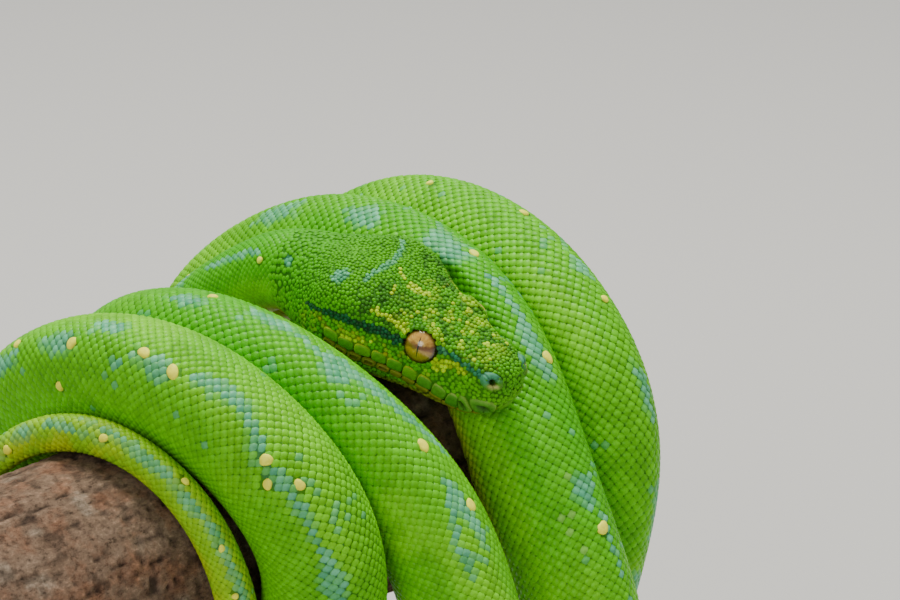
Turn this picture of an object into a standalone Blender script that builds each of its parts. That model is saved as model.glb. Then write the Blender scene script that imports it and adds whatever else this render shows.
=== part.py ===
"""Green tree python (Morelia viridis), a young adult at life size, resting in saddle coils on a cut length of branch.

A still display model: the branch is carried by two short rods on a flat base. Sizes below are millimetres about the
branch axis, which runs along X; the finished solids are metres, with the origin under the middle of the base.
The body is one long strand: the head rests on top and points to -Y, the neck drops on the far side (+Y), and the
trunk then crosses the branch four times (C, B, D, A), hanging in a bend at each side between two crossings. Behind
the last crossing the tail winds once under the branch and over it again (T).
"""
import bpy
import bmesh
import numpy as np
from math import pi, sin, cos, radians
from mathutils import Matrix, Vector

# ---------------------------------------------------------------------------------------------- driving sizes
MM = 0.001
AXIS_HEIGHT = 130.0            # branch axis above the table
BASE_CENTRE_X = -56.0          # middle of the base along the branch

# the branch: place along X, radius
PERCH = [(-178.0, 25.2), (-150.0, 26.6), (-125.0, 25.6), (-104.0, 25.8), (-90.0, 25.9),
         (-72.0, 25.0), (-58.0, 24.8), (-36.0, 25.8), (-8.0, 26.4), (13.0, 26.0), (37.0, 24.6)]
PERCH_SIDES = 24

BASE_LENGTH, BASE_WIDTH, BASE_THICKNESS, BASE_CORNER, BASE_EDGE = 230.0, 156.0, 12.0, 16.0, 2.0
ROD_RADIUS, ROD_PLACES, ROD_IN_PERCH, ROD_IN_BASE = 4.0, (-136.0, 22.0), 12.0, 7.0
FIT = 0.3                      # clearance between neighbouring solids

# the head's long axis
HEAD_LENGTH = 51.7
HEAD_POINT = (-30.9, 5.9, 42.0)          # back of the skull
HEAD_AHEAD = (0.096, -0.972, -0.215)
HEAD_UP = (-0.075, -0.223, 0.972)
NECK = [(-38.8, 48.2, 17.6, -25), (-35.9, 47.8, 3.3, -12)]    # two places the neck passes, with the spine's lean

# half turns over the branch: x, then distance from its axis, each at the far side, the crest and the near side;
# then the lean of the spine towards +X in degrees at the same three places
CROSSING = {
    'C': ((-14.3, -7.0, -17.2), (71.0, 41.0, 41.8), (5, 12, 34)),
    'B': ((-56.0, -61.2, -44.6), (51.9, 38.0, 44.7), (-10, -24, -18)),
    'D': ((10.9, 12.4, 8.4), (64.7, 41.0, 41.8), (5, 14, 12)),
    'A': ((-89.1, -83.4, -69.6), (42.4, 41.2, 42.7), (-25, -40, -30)),
    'T': ((-109.6, -96.4, -87.4), (30.7, 33.0, 32.0), (-15, -20, -15)),
}
# hanging bends: x, distance out, height, then how far the leg before and the leg after stand from x, and their
# distance out
BEND = {
    'f1': (-23.5, 57.5, -27.0, -12.5, 12.0, 45.5, 69.5),
    'n1': (-33.0, 64.5, -43.0, 18.0, -16.0, 57.0, 57.0),
    'f2': (-21.0, 69.5, -50.0, -30.0, 26.5, 62.5, 74.0),
    'n2': (-39.0, 36.5, -58.0, 38.5, -34.5, 37.5, 31.5),
}
BEND_FLOOR = 0.66              # the lowest run of a bend, as a share of its width
# order of travel from the neck; True where the crossing runs from the near side to the far side
ORDER = [('f1', 'C', False), ('n1', 'B', True), ('f2', 'D', False), ('n2', 'A', True)]
WRAP_SHIFT = 2.2               # sideways swing of the tail under the branch

# distance behind the snout, then half width, height above and depth below the long axis, squareness above and below
HEAD = [
    (0.0, 0.6, 2.9, -1.6, 2.3, 2.0),
    (0.5, 2.7, 4.2, 0.6, 2.3, 2.0),
    (1.5, 4.4, 5.2, 2.9, 2.4, 2.1),
    (3.5, 5.8, 6.2, 5.3, 2.5, 2.2),
    (6.6, 6.9, 7.1, 7.6, 2.6, 2.3),
    (10.7, 7.9, 7.9, 9.0, 2.6, 2.3),
    (15.7, 9.2, 9.1, 9.2, 2.5, 2.2),
    (20.7, 10.8, 10.4, 9.0, 2.4, 2.1),
    (26.7, 13.0, 12.1, 8.9, 2.3, 2.1),
    (33.7, 15.2, 14.0, 8.8, 2.2, 2.1),
    (39.7, 15.4, 14.6, 8.7, 2.1, 2.1),
    (46.0, 13.3, 13.2, 8.7, 2.0, 2.1),
    (52.5, 10.6, 10.8, 8.6, 2.0, 2.1),
    (60.0, 8.5, 8.7, 8.5, 2.0, 2.1),
    (68.0, 7.8, 7.8, 8.2, 1.95, 2.1),
]
# swellings and hollows of the head: height, distance behind the snout, spread, angle from the crown, spread
HEAD_RELIEF = [
    (1.8, 36.5, 8.5, 0.80, 0.38),     # jaw muscle at the back of the head
    (-1.0, 43.0, 9.0, 0.0, 0.24),     # furrow between the two
    (-0.8, 11.5, 4.0, 1.15, 0.30),    # hollow between eye and nostril
    (0.6, 4.6, 2.6, 1.0, 0.40),       # swollen nose
    (0.9, 18.3, 4.0, 0.62, 0.22),     # brow
    (-0.4, 14.0, 5.0, 0.0, 0.30),     # trough along the top of the snout
]
EYE_BEHIND_SNOUT, EYE_ANGLE, EYE_RADIUS, EYE_SUNK = 18.1, 1.00, 4.15, 2.35
# the mouth line from in front of the snout to the corner of the jaw: distance behind the snout, height off the long axis
MOUTH = [(-2.0, -4.4), (4.0, -4.9), (9.0, -5.7), (14.5, -3.5), (24.0, -0.5), (38.0, 1.4)]
JAW_GAP = 0.3

# share of the body's length, half width
GIRTH = [(0.055, 7.4), (0.075, 8.4), (0.11, 9.5), (0.15, 10.2), (0.19, 10.6), (0.225, 11.5), (0.26, 11.5), (0.30, 11.4),
         (0.42, 11.3), (0.55, 11.1), (0.66, 11.5), (0.73, 12.1), (0.785, 11.9), (0.82, 11.2), (0.845, 10.0), (0.87, 8.1),
         (0.895, 6.0), (0.92, 4.0), (0.95, 3.65), (0.972, 3.0), (0.988, 2.3), (1.0, 0.9)]
BODY_RISE, BODY_DEPTH, RIDGE, BELLY = 1.10, 1.06, 1.78, 2.15   # a body taller than wide, with a soft ridge on the spine
SKULL_END = 56.0               # behind this the body is soft enough to press flat
CONTACT = 0.42                 # gap where two lengths of the body press together
SOFT = 0.8                     # rounding of the pressed flats

# where the body is parted, by distance behind the snout
LENGTHS = [('neck', 56.0, 104.0), ('trunk_1', 104.0, 205.0), ('trunk_2', 205.0, 328.0), ('trunk_3', 328.0, 440.0),
           ('trunk_4', 440.0, 560.0), ('trunk_5', 560.0, 628.0), ('trunk_6', 628.0, 700.0), ('trunk_7', 700.0, 835.0),
           ('trunk_8', 835.0, 905.0), ('trunk_9', 905.0, 970.0), ('trunk_10', 970.0, 1090.0),
           ('tail_1', 1090.0, 1195.0), ('tail_2', 1195.0, 5000.0)]
RING_STEP, BODY_SIDES, HEAD_SIDES = 7.4, 16, 24


# ---------------------------------------------------------------------------------------------- curves and sections
def unit(v):
    v = np.asarray(v, float)
    return v / np.maximum(np.linalg.norm(v, axis=-1, keepdims=True), 1e-12)


def smooth(table, x, col=1):
    """A monotone cubic through the rows of a table."""
    t = np.asarray(table, float)
    X, Y = t[:, 0], t[:, col]
    h = np.diff(X)
    d = np.diff(Y) / h
    m = np.zeros_like(Y)
    for i in range(1, len(X) - 1):
        if d[i-1]*d[i] > 0:
            w1, w2 = 2*h[i] + h[i-1], h[i] + 2*h[i-1]
            m[i] = (w1 + w2)/(w1/d[i-1] + w2/d[i])
    m[0], m[-1] = d[0], d[-1]
    x = np.clip(np.asarray(x, float), X[0], X[-1])
    i = np.clip(np.searchsorted(X, x, side='right') - 1, 0, len(X) - 2)
    u = (x - X[i])/h[i]
    return ((1 + 2*u)*(1 - u)**2*Y[i] + u*(1 - u)**2*h[i]*m[i]
            + u*u*(3 - 2*u)*Y[i+1] + u*u*(u - 1)*h[i]*m[i+1])


def perch_radius(x):
    return smooth(PERCH, x)


def crossing(name, towards_far):
    (xf, xc, xn), (rf, rc, rn), (lf, lc, ln) = CROSSING[name]
    out = []
    for deg in (-80, -40, 0, 40, 80):
        w, t = deg/80.0, radians(deg)
        curve = lambda f, c, n: c + (n - f)/2*w + ((n + f)/2 - c)*w*w
        r = curve(rf, rc, rn)
        out.append((curve(xf, xc, xn), -r*sin(t), r*cos(t), curve(lf, lc, ln)))
    return out[::-1] if towards_far else out


def control_points():
    """The strand's control points from the snout to the tip of the tail: x, y, z, lean."""
    ho, hf = np.array(HEAD_POINT), unit(HEAD_AHEAD)
    pts = [tuple(ho + hf*a) + (0,) for a in (HEAD_LENGTH, 42.0, 31.0, 20.0, 0.0)] + [tuple(ho - hf*14.0) + (-8,)]
    pts += NECK
    for bend, cross, towards_far in ORDER:
        x, y, z, wa, wb, ya, yb = BEND[bend]
        side = 1 if bend[0] == 'f' else -1
        lean = CROSSING[cross][2][1]*0.35
        f = BEND_FLOOR
        pts += [(x + wa, side*ya, z*0.45, lean), (x + wa*f, side*(y*0.7 + ya*0.3), z, 0),
                (x + wb*f, side*(y*0.7 + yb*0.3), z, 0), (x + wb, side*yb, z*0.45, lean)]
        pts += crossing(cross, towards_far)
    xa, ra = CROSSING['A'][0][0], CROSSING['A'][1][0]
    xt, rt = CROSSING['T'][0][2], CROSSING['T'][1][2]
    for i, deg in enumerate((-125, -165, -205, -245)):      # the tail goes round under the branch
        k, t = (i + 1)/5.0, radians(deg)
        r = ra + (rt - ra)*k
        pts.append((xa + (xt - xa)*k + WRAP_SHIFT*sin(pi*k), -r*sin(t), r*cos(t), -15))
    pts += crossing('T', True)
    x, r, t = CROSSING['T'][0][0] - 2, CROSSING['T'][1][0]*0.98, radians(-118)
    pts.append((x, -r*sin(t), r*cos(t), 0))
    return np.array(pts, float)


def b_spline(c, n):
    c = np.vstack([2*c[0] - c[1], c, 2*c[-1] - c[-2]])
    t = np.linspace(0, 1, n, endpoint=False)[:, None]
    out = []
    for i in range(len(c) - 3):
        a, b, d, e = c[i:i+4]
        out.append(((1-t)**3*a + (3*t**3 - 6*t**2 + 4)*b + (-3*t**3 + 3*t**2 + 3*t + 1)*d + t**3*e)/6)
    out.append(((c[-3] + 4*c[-2] + c[-1])/6)[None])
    return np.vstack(out)


class Strand:
    """Axis, frame and section of the whole snake, by distance behind the snout."""

    def __init__(self, n=24):
        c = b_spline(control_points(), n)
        p = c[:, :3]
        d = np.r_[0, np.cumsum(np.linalg.norm(np.diff(p, axis=0), axis=1))]
        tip = np.array(HEAD_POINT) + unit(HEAD_AHEAD)*HEAD_LENGTH
        lead = max(float((tip - p[0]) @ unit(HEAD_AHEAD)), 1e-6)
        self.p = np.vstack([tip[None], p])
        self.lean = np.r_[c[0, 3], c[:, 3]]
        self.d = np.r_[0, d + lead]
        self.length = self.d[-1]

    def at(self, s):
        return np.stack([np.interp(s, self.d, self.p[:, k]) for k in range(3)], -1)

    def frame(self, s):
        s = np.asarray(s, float)
        p = (self.at(s - 0.5) + self.at(s) + self.at(s + 0.5))/3
        p = np.where((s < 3)[..., None], self.at(s), p)
        t = unit(self.at(np.clip(s + 1.2, 0, self.length)) - self.at(np.clip(s - 1.2, 0, self.length)))
        lean = np.radians(np.interp(s, self.d, self.lean))[..., None]
        out = unit(np.stack([0*s, p[..., 1], p[..., 2]], -1))*np.cos(lean) + np.array([1.0, 0, 0])*np.sin(lean)
        k = np.clip((s - 48.0)/34.0, 0, 1)[..., None]
        k = k*k*(3 - 2*k)
        up = unit(HEAD_UP)*(1 - k) + out*k
        up = unit(up - t*(up*t).sum(-1, keepdims=True))
        return p, t, up, np.cross(t, up)

    def section(self, s):
        """half width, rise, depth, squareness above and below"""
        s = np.asarray(s, float)
        g = smooth(GIRTH, s/self.length)
        k = np.clip((s - 60.0)/25.0, 0, 1)
        k = k*k*(3 - 2*k)
        body = [g, g*BODY_RISE, g*BODY_DEPTH, RIDGE + 0*g, BELLY + 0*g]
        return [smooth(HEAD, s, i + 1)*(1 - k) + body[i]*k for i in range(5)]


def reach(v, up, left, w, h):
    """How far an oval section reaches in a direction."""
    return np.sqrt((w*(v*left).sum(-1))**2 + (h*(v*up).sum(-1))**2)


def relief(a, f):
    """Swelling of the head by distance behind the snout and angle from the crown."""
    return sum(h*np.exp(-((a - a0)/da)**2 - ((f - f0)/df)**2) for h, a0, da, f0, df in HEAD_RELIEF)


def rings(strand, s, phi):
    """Points of the body: s by phi, phi 0 on the spine and growing to the snake's right."""
    p, t, up, left = strand.frame(s)
    w, hi, lo, nu, nl = strand.section(s)
    c, q = np.cos(phi)[None], np.sin(phi)[None]
    n = np.where(c >= 0, nu[:, None], nl[:, None])
    x = w[:, None]*np.sign(q)*np.abs(q)**(2/n)
    y = np.where(c >= 0, hi[:, None], lo[:, None])*np.sign(c)*np.abs(c)**(2/n)
    P = p[:, None] - left[:, None]*x[..., None] + up[:, None]*y[..., None]
    # relief of the head
    a, f = s[:, None], np.minimum(phi, 2*pi - phi)[None]
    bump = relief(a, f)
    fade = np.clip(s/2.5, 0, 1)[:, None]*(s < 75)[:, None]
    P = P + unit(P - p[:, None])*(bump*fade)[..., None]
    return press(strand, s, P)


def press(strand, s, P):
    """The body sags onto the branch, and its lengths press flat against each other."""
    p, t, up, left = strand.frame(s)
    w, hi, lo = strand.section(s)[:3]
    rad = np.hypot(p[:, 1], p[:, 2])
    inward = unit(np.stack([0*rad, -p[:, 1], -p[:, 2]], -1))
    o = P - p[:, None]
    g = rad - perch_radius(p[:, 0]) - (o*inward[:, None]).sum(-1).max(1) - 0.35
    e = np.clip(g, 0, 2.5)*np.clip((p[:, 2] - 4)/14, 0, 1)*np.clip((s - 130)/30, 0, 1)
    cosd = (o*inward[:, None]).sum(-1)/np.maximum(np.linalg.norm(o, axis=-1), 1e-6)
    P = P + inward[:, None]*(e[:, None]*((1 + cosd)/2)**4)[..., None]
    q = np.arange(2.0, strand.length, 3.0)
    pq, _, uq, lq = strand.frame(q)
    wq, hq, bq = strand.section(q)[:3]
    for i in range(len(s)):
        if s[i] < SKULL_END:
            continue
        D = np.linalg.norm(pq - p[i], axis=1)
        near = set(np.where((abs(q - s[i]) > 4.2*w[i] + 8) & (D < 1.25*(w[i] + wq) + 6))[0])
        for j in near:
            if (j - 1 in near and D[j-1] < D[j]) or (j + 1 in near and D[j+1] <= D[j]) or j in (0, len(q) - 1):
                continue
            d0, d1, d2 = D[j-1]**2, D[j]**2, D[j+1]**2
            off = float(np.clip(0.5*(d0 - d2)/max(d0 - 2*d1 + d2, 1e-6), -0.5, 0.5))
            m, f = j + (1 if off > 0 else -1), abs(off)
            mix = lambda a: a[j]*(1 - f) + a[m]*f
            v = mix(pq) - p[i]
            dist = np.linalg.norm(v)
            v = v/dist
            ri = reach(v, up[i], left[i], w[i], (hi[i] + lo[i])/2)
            rj = reach(v, mix(uq), mix(lq), mix(wq), (mix(hq) + mix(bq))/2)
            skull = q[j] < SKULL_END
            share, soft = (1.0, 2.0) if skull else (0.5, SOFT)
            if skull:
                rj += 0.5 + max(relief(q[j], np.arccos(np.clip(-v @ uq[j], -1, 1))), 0)
            h = ri - (ri + rj - dist)*share - CONTACT*share
            over = (P[i] - p[i]) @ v - h
            cut = np.where(over > soft, over, np.where(over > -soft, (over + soft)**2/(4*soft), 0))
            P[i] -= v*cut[:, None]
    rr = np.hypot(P[..., 1], P[..., 2])
    need = perch_radius(P[..., 0]) + 0.35
    f = np.where((P[..., 0] < PERCH[-1][0] + 1) & (rr < need), need/np.maximum(rr, 1e-6), 1.0)
    P[..., 1] *= f
    P[..., 2] *= f
    return P


# ---------------------------------------------------------------------------------------------- solids
def world(P):
    P = np.asarray(P, float)
    return (P + np.array([-BASE_CENTRE_X, 0, AXIS_HEIGHT]))*MM


def material(name, colour, roughness, metallic=0.0, coat=0.0):
    m = bpy.data.materials.new(name)
    m.use_nodes = True
    b = m.node_tree.nodes['Principled BSDF']
    b.inputs['Base Color'].default_value = (*colour, 1)
    b.inputs['Roughness'].default_value = roughness
    b.inputs['Metallic'].default_value = metallic
    b.inputs['Coat Weight'].default_value = coat
    m.diffuse_color = (*colour, 1)
    return m


def add(name, bm, mat, smooth_deg=40):
    bmesh.ops.recalc_face_normals(bm, faces=bm.faces)
    me = bpy.data.meshes.new(name)
    bm.to_mesh(me)
    bm.free()
    ob = bpy.data.objects.new(name, me)
    bpy.context.collection.objects.link(ob)
    me.materials.append(mat)
    me.shade_smooth()
    me.set_sharp_from_angle(angle=radians(smooth_deg))
    return ob


def loft(P, end_cap=True, start_cap=True):
    """A closed tube through rings of points."""
    bm = bmesh.new()
    n, m = P.shape[:2]
    W = world(P)
    V = [[bm.verts.new(W[i, j]) for j in range(m)] for i in range(n)]
    for i in range(n - 1):
        for j in range(m):
            k = (j + 1) % m
            bm.faces.new((V[i][j], V[i][k], V[i+1][k], V[i+1][j]))
    for ring, cap in ((V[0], start_cap), (V[-1], end_cap)):
        if cap:
            c = bm.verts.new(np.mean([v.co for v in ring], axis=0))
            for j in range(m):
                bm.faces.new((ring[j], ring[(j + 1) % m], c))
    return bm


def cutter(name, bm):
    ob = add(name, bm, bpy.data.materials['cutter'])
    ob.hide_render = True
    ob.display_type = 'WIRE'
    return ob


def boolean(ob, other, operation='DIFFERENCE'):
    b = ob.modifiers.new('cut_' + other.name, 'BOOLEAN')
    b.operation = operation
    b.solver = 'EXACT'
    b.object = other


def cylinder(x, y, z0, z1, r, sides=24):
    bm = bmesh.new()
    bmesh.ops.create_cone(bm, cap_ends=True, segments=sides, radius1=r*MM, radius2=r*MM, depth=(z1 - z0)*MM,
                          matrix=Matrix.Translation(Vector(world((x, y, (z0 + z1)/2)))))
    return bm


def ball(centre, r, axis, segments=16, rows=10):
    bm = bmesh.new()
    turn = Vector((0, 0, 1)).rotation_difference(Vector(axis)).to_matrix().to_4x4()
    bmesh.ops.create_uvsphere(bm, u_segments=segments, v_segments=rows, radius=r*MM,
                              matrix=Matrix.Translation(Vector(world(centre))) @ turn)
    return bm


def mouth_cutter(strand, name, up_by, end_by):
    """A block under the mouth line, from in front of the snout to the corner of the jaw."""
    o, ahead = np.array(HEAD_POINT), unit(HEAD_AHEAD)
    _, t, ups, lefts = strand.frame(np.array([20.0]))
    up, left = ups[0], lefts[0]
    bm = bmesh.new()
    rows = []
    for i, (s, h) in enumerate(MOUTH):
        c = o + ahead*(HEAD_LENGTH - s + (end_by if i == len(MOUTH) - 1 else 0))
        rows.append([bm.verts.new(world(c + left*y + up*z))
                     for y, z in ((-22, h + up_by), (22, h + up_by), (22, -20), (-22, -20))])
    for a, b in zip(rows, rows[1:]):
        for j in range(4):
            bm.faces.new((a[j], a[(j + 1) % 4], b[(j + 1) % 4], b[j]))
    bm.faces.new(rows[0][::-1])
    bm.faces.new(rows[-1])
    return cutter(name, bm)


def eye_place(strand, side):
    """Centre and outward axis of an eyeball; side +1 is the snake's right."""
    s = np.array([EYE_BEHIND_SNOUT - 0.6, EYE_BEHIND_SNOUT, EYE_BEHIND_SNOUT + 0.6])
    phi = np.array([EYE_ANGLE - 0.06, EYE_ANGLE, EYE_ANGLE + 0.06])
    P = rings(strand, s, phi if side > 0 else 2*pi - phi)
    n = unit(np.cross(P[2, 1] - P[0, 1], P[1, 2] - P[1, 0]))
    c = strand.at(EYE_BEHIND_SNOUT)
    if n @ (P[1, 1] - c) < 0:
        n = -n
    return P[1, 1] - n*EYE_SUNK, n


def build():
    for ob in list(bpy.data.objects):
        bpy.data.objects.remove(ob, do_unlink=True)
    green = material('snake_skin', (0.10, 0.42, 0.03), 0.42)
    eye_mat = material('snake_eye', (0.50, 0.30, 0.12), 0.08, coat=1.0)
    bark = material('perch_wood', (0.13, 0.085, 0.06), 0.85)
    board = material('stand_board', (0.035, 0.033, 0.03), 0.45)
    steel = material('stand_steel', (0.55, 0.56, 0.57), 0.3, metallic=1.0)
    material('cutter', (0.8, 0.2, 0.2), 0.5)

    strand = Strand()
    L = strand.length

    # head, parted along the mouth and hollowed for the eyes
    phi = np.arange(HEAD_SIDES)*2*pi/HEAD_SIDES
    a = np.r_[0.25, 0.9, 2.0, 3.6, 5.6, 8.0, np.linspace(11.0, SKULL_END - FIT/2, 15)]
    P = rings(strand, a, phi)
    head = add('head', loft(P), green)
    jaw = add('jaw', loft(P), green)
    boolean(head, mouth_cutter(strand, 'mouth_space', 0.0, 0.0))
    boolean(jaw, mouth_cutter(strand, 'jaw_space', -JAW_GAP, JAW_GAP), 'INTERSECT')
    for name, side in (('eye_right', 1), ('eye_left', -1)):
        c, n = eye_place(strand, side)
        socket = cutter('socket_' + name, ball(c, EYE_RADIUS + FIT, n))
        boolean(head, socket)
        add(name, ball(c, EYE_RADIUS, n), eye_mat)

    # neck, trunk and tail
    phi = np.arange(BODY_SIDES)*2*pi/BODY_SIDES
    for name, s0, s1 in LENGTHS:
        s1 = min(s1, L)
        a0, a1 = s0 + FIT/2, s1 - (FIT/2 if s1 < L else 0)
        s = np.linspace(a0, a1, max(3, int(round((a1 - a0)/RING_STEP)) + 1))
        add(name, loft(rings(strand, s, phi)), green)

    # the branch, sawn off square at both ends and drilled for the rods
    x = np.unique(np.r_[np.linspace(PERCH[0][0], PERCH[-1][0], 16)])
    th = np.arange(PERCH_SIDES)*2*pi/PERCH_SIDES
    R = perch_radius(x)[:, None]
    perch = add('perch', loft(np.stack([x[:, None] + 0*th, R*np.sin(th), R*np.cos(th)], -1)), bark)

    # the stand: a flat base with rounded corners, and two rods
    floor, top = -AXIS_HEIGHT, -AXIS_HEIGHT + BASE_THICKNESS
    bm = bmesh.new()
    outline = []
    for cx, cy, a0 in ((1, 1, 0), (-1, 1, 90), (-1, -1, 180), (1, -1, 270)):
        for k in range(5):
            g = radians(a0 + k*22.5)
            outline.append((cx*(BASE_LENGTH/2 - BASE_CORNER) + BASE_CORNER*cos(g),
                            cy*(BASE_WIDTH/2 - BASE_CORNER) + BASE_CORNER*sin(g)))
    levels = ((floor, 0.0), (top - BASE_EDGE, 0.0), (top, BASE_EDGE))
    V = []
    for z, inset in levels:
        row = []
        for px, py in outline:
            fx, fy = 1 - inset/(BASE_LENGTH/2), 1 - inset/(BASE_WIDTH/2)
            row.append(bm.verts.new(world((BASE_CENTRE_X + px*fx, py*fy, z))))
        V.append(row)
    for i in range(len(V) - 1):
        for j in range(len(outline)):
            k = (j + 1) % len(outline)
            bm.faces.new((V[i][j], V[i][k], V[i+1][k], V[i+1][j]))
    bm.faces.new(V[0][::-1])
    bm.faces.new(V[-1])
    base = add('stand_base', bm, board)
    for i, rx in enumerate(ROD_PLACES):
        under = -float(perch_radius(rx))
        tip = under + ROD_IN_PERCH
        hole = cutter('perch_hole_%d' % (i + 1), cylinder(rx, 0, under - 10, tip + FIT, ROD_RADIUS + FIT))
        boolean(perch, hole)
        hole = cutter('base_hole_%d' % (i + 1), cylinder(rx, 0, top - ROD_IN_BASE - FIT, top + 5, ROD_RADIUS + FIT))
        boolean(base, hole)
        add('stand_rod_%d' % (i + 1), cylinder(rx, 0, top - ROD_IN_BASE, tip, ROD_RADIUS), steel)


build()
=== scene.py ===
"""Looks of the green tree python on its perch: skin, scales, eyes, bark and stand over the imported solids.

The strand's shape functions below are the ones the solids were made with, in millimetres about the branch's axis.
"""
import bpy
import numpy as np
from math import pi, sin, cos, radians
from mathutils import Matrix, Vector
from mathutils.kdtree import KDTree

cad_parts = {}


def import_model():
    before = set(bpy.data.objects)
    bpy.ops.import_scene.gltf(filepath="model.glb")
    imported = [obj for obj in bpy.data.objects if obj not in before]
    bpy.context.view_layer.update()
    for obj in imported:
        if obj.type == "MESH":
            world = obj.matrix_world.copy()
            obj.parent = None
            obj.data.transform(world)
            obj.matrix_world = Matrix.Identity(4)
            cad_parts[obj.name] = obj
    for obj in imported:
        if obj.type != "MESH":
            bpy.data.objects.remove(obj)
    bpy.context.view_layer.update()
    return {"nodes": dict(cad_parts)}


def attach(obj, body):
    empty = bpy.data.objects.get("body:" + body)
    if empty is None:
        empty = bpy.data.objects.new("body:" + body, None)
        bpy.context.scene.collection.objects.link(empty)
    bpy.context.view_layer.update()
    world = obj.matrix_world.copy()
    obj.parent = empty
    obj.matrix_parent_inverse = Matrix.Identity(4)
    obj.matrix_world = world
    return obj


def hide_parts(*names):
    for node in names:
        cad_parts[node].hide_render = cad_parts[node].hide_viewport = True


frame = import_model()

# ---------------------------------------------------------------------------------------------- driving sizes
MM = 0.001
AXIS_HEIGHT = 130.0            # branch axis above the table
BASE_CENTRE_X = -56.0          # middle of the base along the branch

# the branch: place along X, radius
PERCH = [(-178.0, 25.2), (-150.0, 26.6), (-125.0, 25.6), (-104.0, 25.8), (-90.0, 25.9),
         (-72.0, 25.0), (-58.0, 24.8), (-36.0, 25.8), (-8.0, 26.4), (13.0, 26.0), (37.0, 24.6)]
PERCH_SIDES = 24

BASE_LENGTH, BASE_WIDTH, BASE_THICKNESS, BASE_CORNER, BASE_EDGE = 230.0, 156.0, 12.0, 16.0, 2.0
ROD_RADIUS, ROD_PLACES, ROD_IN_PERCH, ROD_IN_BASE = 4.0, (-136.0, 22.0), 12.0, 7.0
FIT = 0.3                      # clearance between neighbouring solids

# the head's long axis
HEAD_LENGTH = 51.7
HEAD_POINT = (-30.9, 5.9, 42.0)          # back of the skull
HEAD_AHEAD = (0.096, -0.972, -0.215)
HEAD_UP = (-0.075, -0.223, 0.972)
NECK = [(-38.8, 48.2, 17.6, -25), (-35.9, 47.8, 3.3, -12)]    # two places the neck passes, with the spine's lean

# half turns over the branch: x, then distance from its axis, each at the far side, the crest and the near side;
# then the lean of the spine towards +X in degrees at the same three places
CROSSING = {
    'C': ((-14.3, -7.0, -17.2), (71.0, 41.0, 41.8), (5, 12, 34)),
    'B': ((-56.0, -61.2, -44.6), (51.9, 38.0, 44.7), (-10, -24, -18)),
    'D': ((10.9, 12.4, 8.4), (64.7, 41.0, 41.8), (5, 14, 12)),
    'A': ((-89.1, -83.4, -69.6), (42.4, 41.2, 42.7), (-25, -40, -30)),
    'T': ((-109.6, -96.4, -87.4), (30.7, 33.0, 32.0), (-15, -20, -15)),
}
# hanging bends: x, distance out, height, then how far the leg before and the leg after stand from x, and their
# distance out
BEND = {
    'f1': (-23.5, 57.5, -27.0, -12.5, 12.0, 45.5, 69.5),
    'n1': (-33.0, 64.5, -43.0, 18.0, -16.0, 57.0, 57.0),
    'f2': (-21.0, 69.5, -50.0, -30.0, 26.5, 62.5, 74.0),
    'n2': (-39.0, 36.5, -58.0, 38.5, -34.5, 37.5, 31.5),
}
BEND_FLOOR = 0.66              # the lowest run of a bend, as a share of its width
# order of travel from the neck; True where the crossing runs from the near side to the far side
ORDER = [('f1', 'C', False), ('n1', 'B', True), ('f2', 'D', False), ('n2', 'A', True)]
WRAP_SHIFT = 2.2               # sideways swing of the tail under the branch

# distance behind the snout, then half width, height above and depth below the long axis, squareness above and below
HEAD = [
    (0.0, 0.6, 2.9, -1.6, 2.3, 2.0),
    (0.5, 2.7, 4.2, 0.6, 2.3, 2.0),
    (1.5, 4.4, 5.2, 2.9, 2.4, 2.1),
    (3.5, 5.8, 6.2, 5.3, 2.5, 2.2),
    (6.6, 6.9, 7.1, 7.6, 2.6, 2.3),
    (10.7, 7.9, 7.9, 9.0, 2.6, 2.3),
    (15.7, 9.2, 9.1, 9.2, 2.5, 2.2),
    (20.7, 10.8, 10.4, 9.0, 2.4, 2.1),
    (26.7, 13.0, 12.1, 8.9, 2.3, 2.1),
    (33.7, 15.2, 14.0, 8.8, 2.2, 2.1),
    (39.7, 15.4, 14.6, 8.7, 2.1, 2.1),
    (46.0, 13.3, 13.2, 8.7, 2.0, 2.1),
    (52.5, 10.6, 10.8, 8.6, 2.0, 2.1),
    (60.0, 8.5, 8.7, 8.5, 2.0, 2.1),
    (68.0, 7.8, 7.8, 8.2, 1.95, 2.1),
]
# swellings and hollows of the head: height, distance behind the snout, spread, angle from the crown, spread
HEAD_RELIEF = [
    (1.8, 36.5, 8.5, 0.80, 0.38),     # jaw muscle at the back of the head
    (-1.0, 43.0, 9.0, 0.0, 0.24),     # furrow between the two
    (-0.8, 11.5, 4.0, 1.15, 0.30),    # hollow between eye and nostril
    (0.6, 4.6, 2.6, 1.0, 0.40),       # swollen nose
    (0.9, 18.3, 4.0, 0.62, 0.22),     # brow
    (-0.4, 14.0, 5.0, 0.0, 0.30),     # trough along the top of the snout
]
EYE_BEHIND_SNOUT, EYE_ANGLE, EYE_RADIUS, EYE_SUNK = 18.1, 1.00, 4.15, 2.35
# the mouth line from in front of the snout to the corner of the jaw: distance behind the snout, height off the long axis
MOUTH = [(-2.0, -4.4), (4.0, -4.9), (9.0, -5.7), (14.5, -3.5), (24.0, -0.5), (38.0, 1.4)]
JAW_GAP = 0.3

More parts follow.
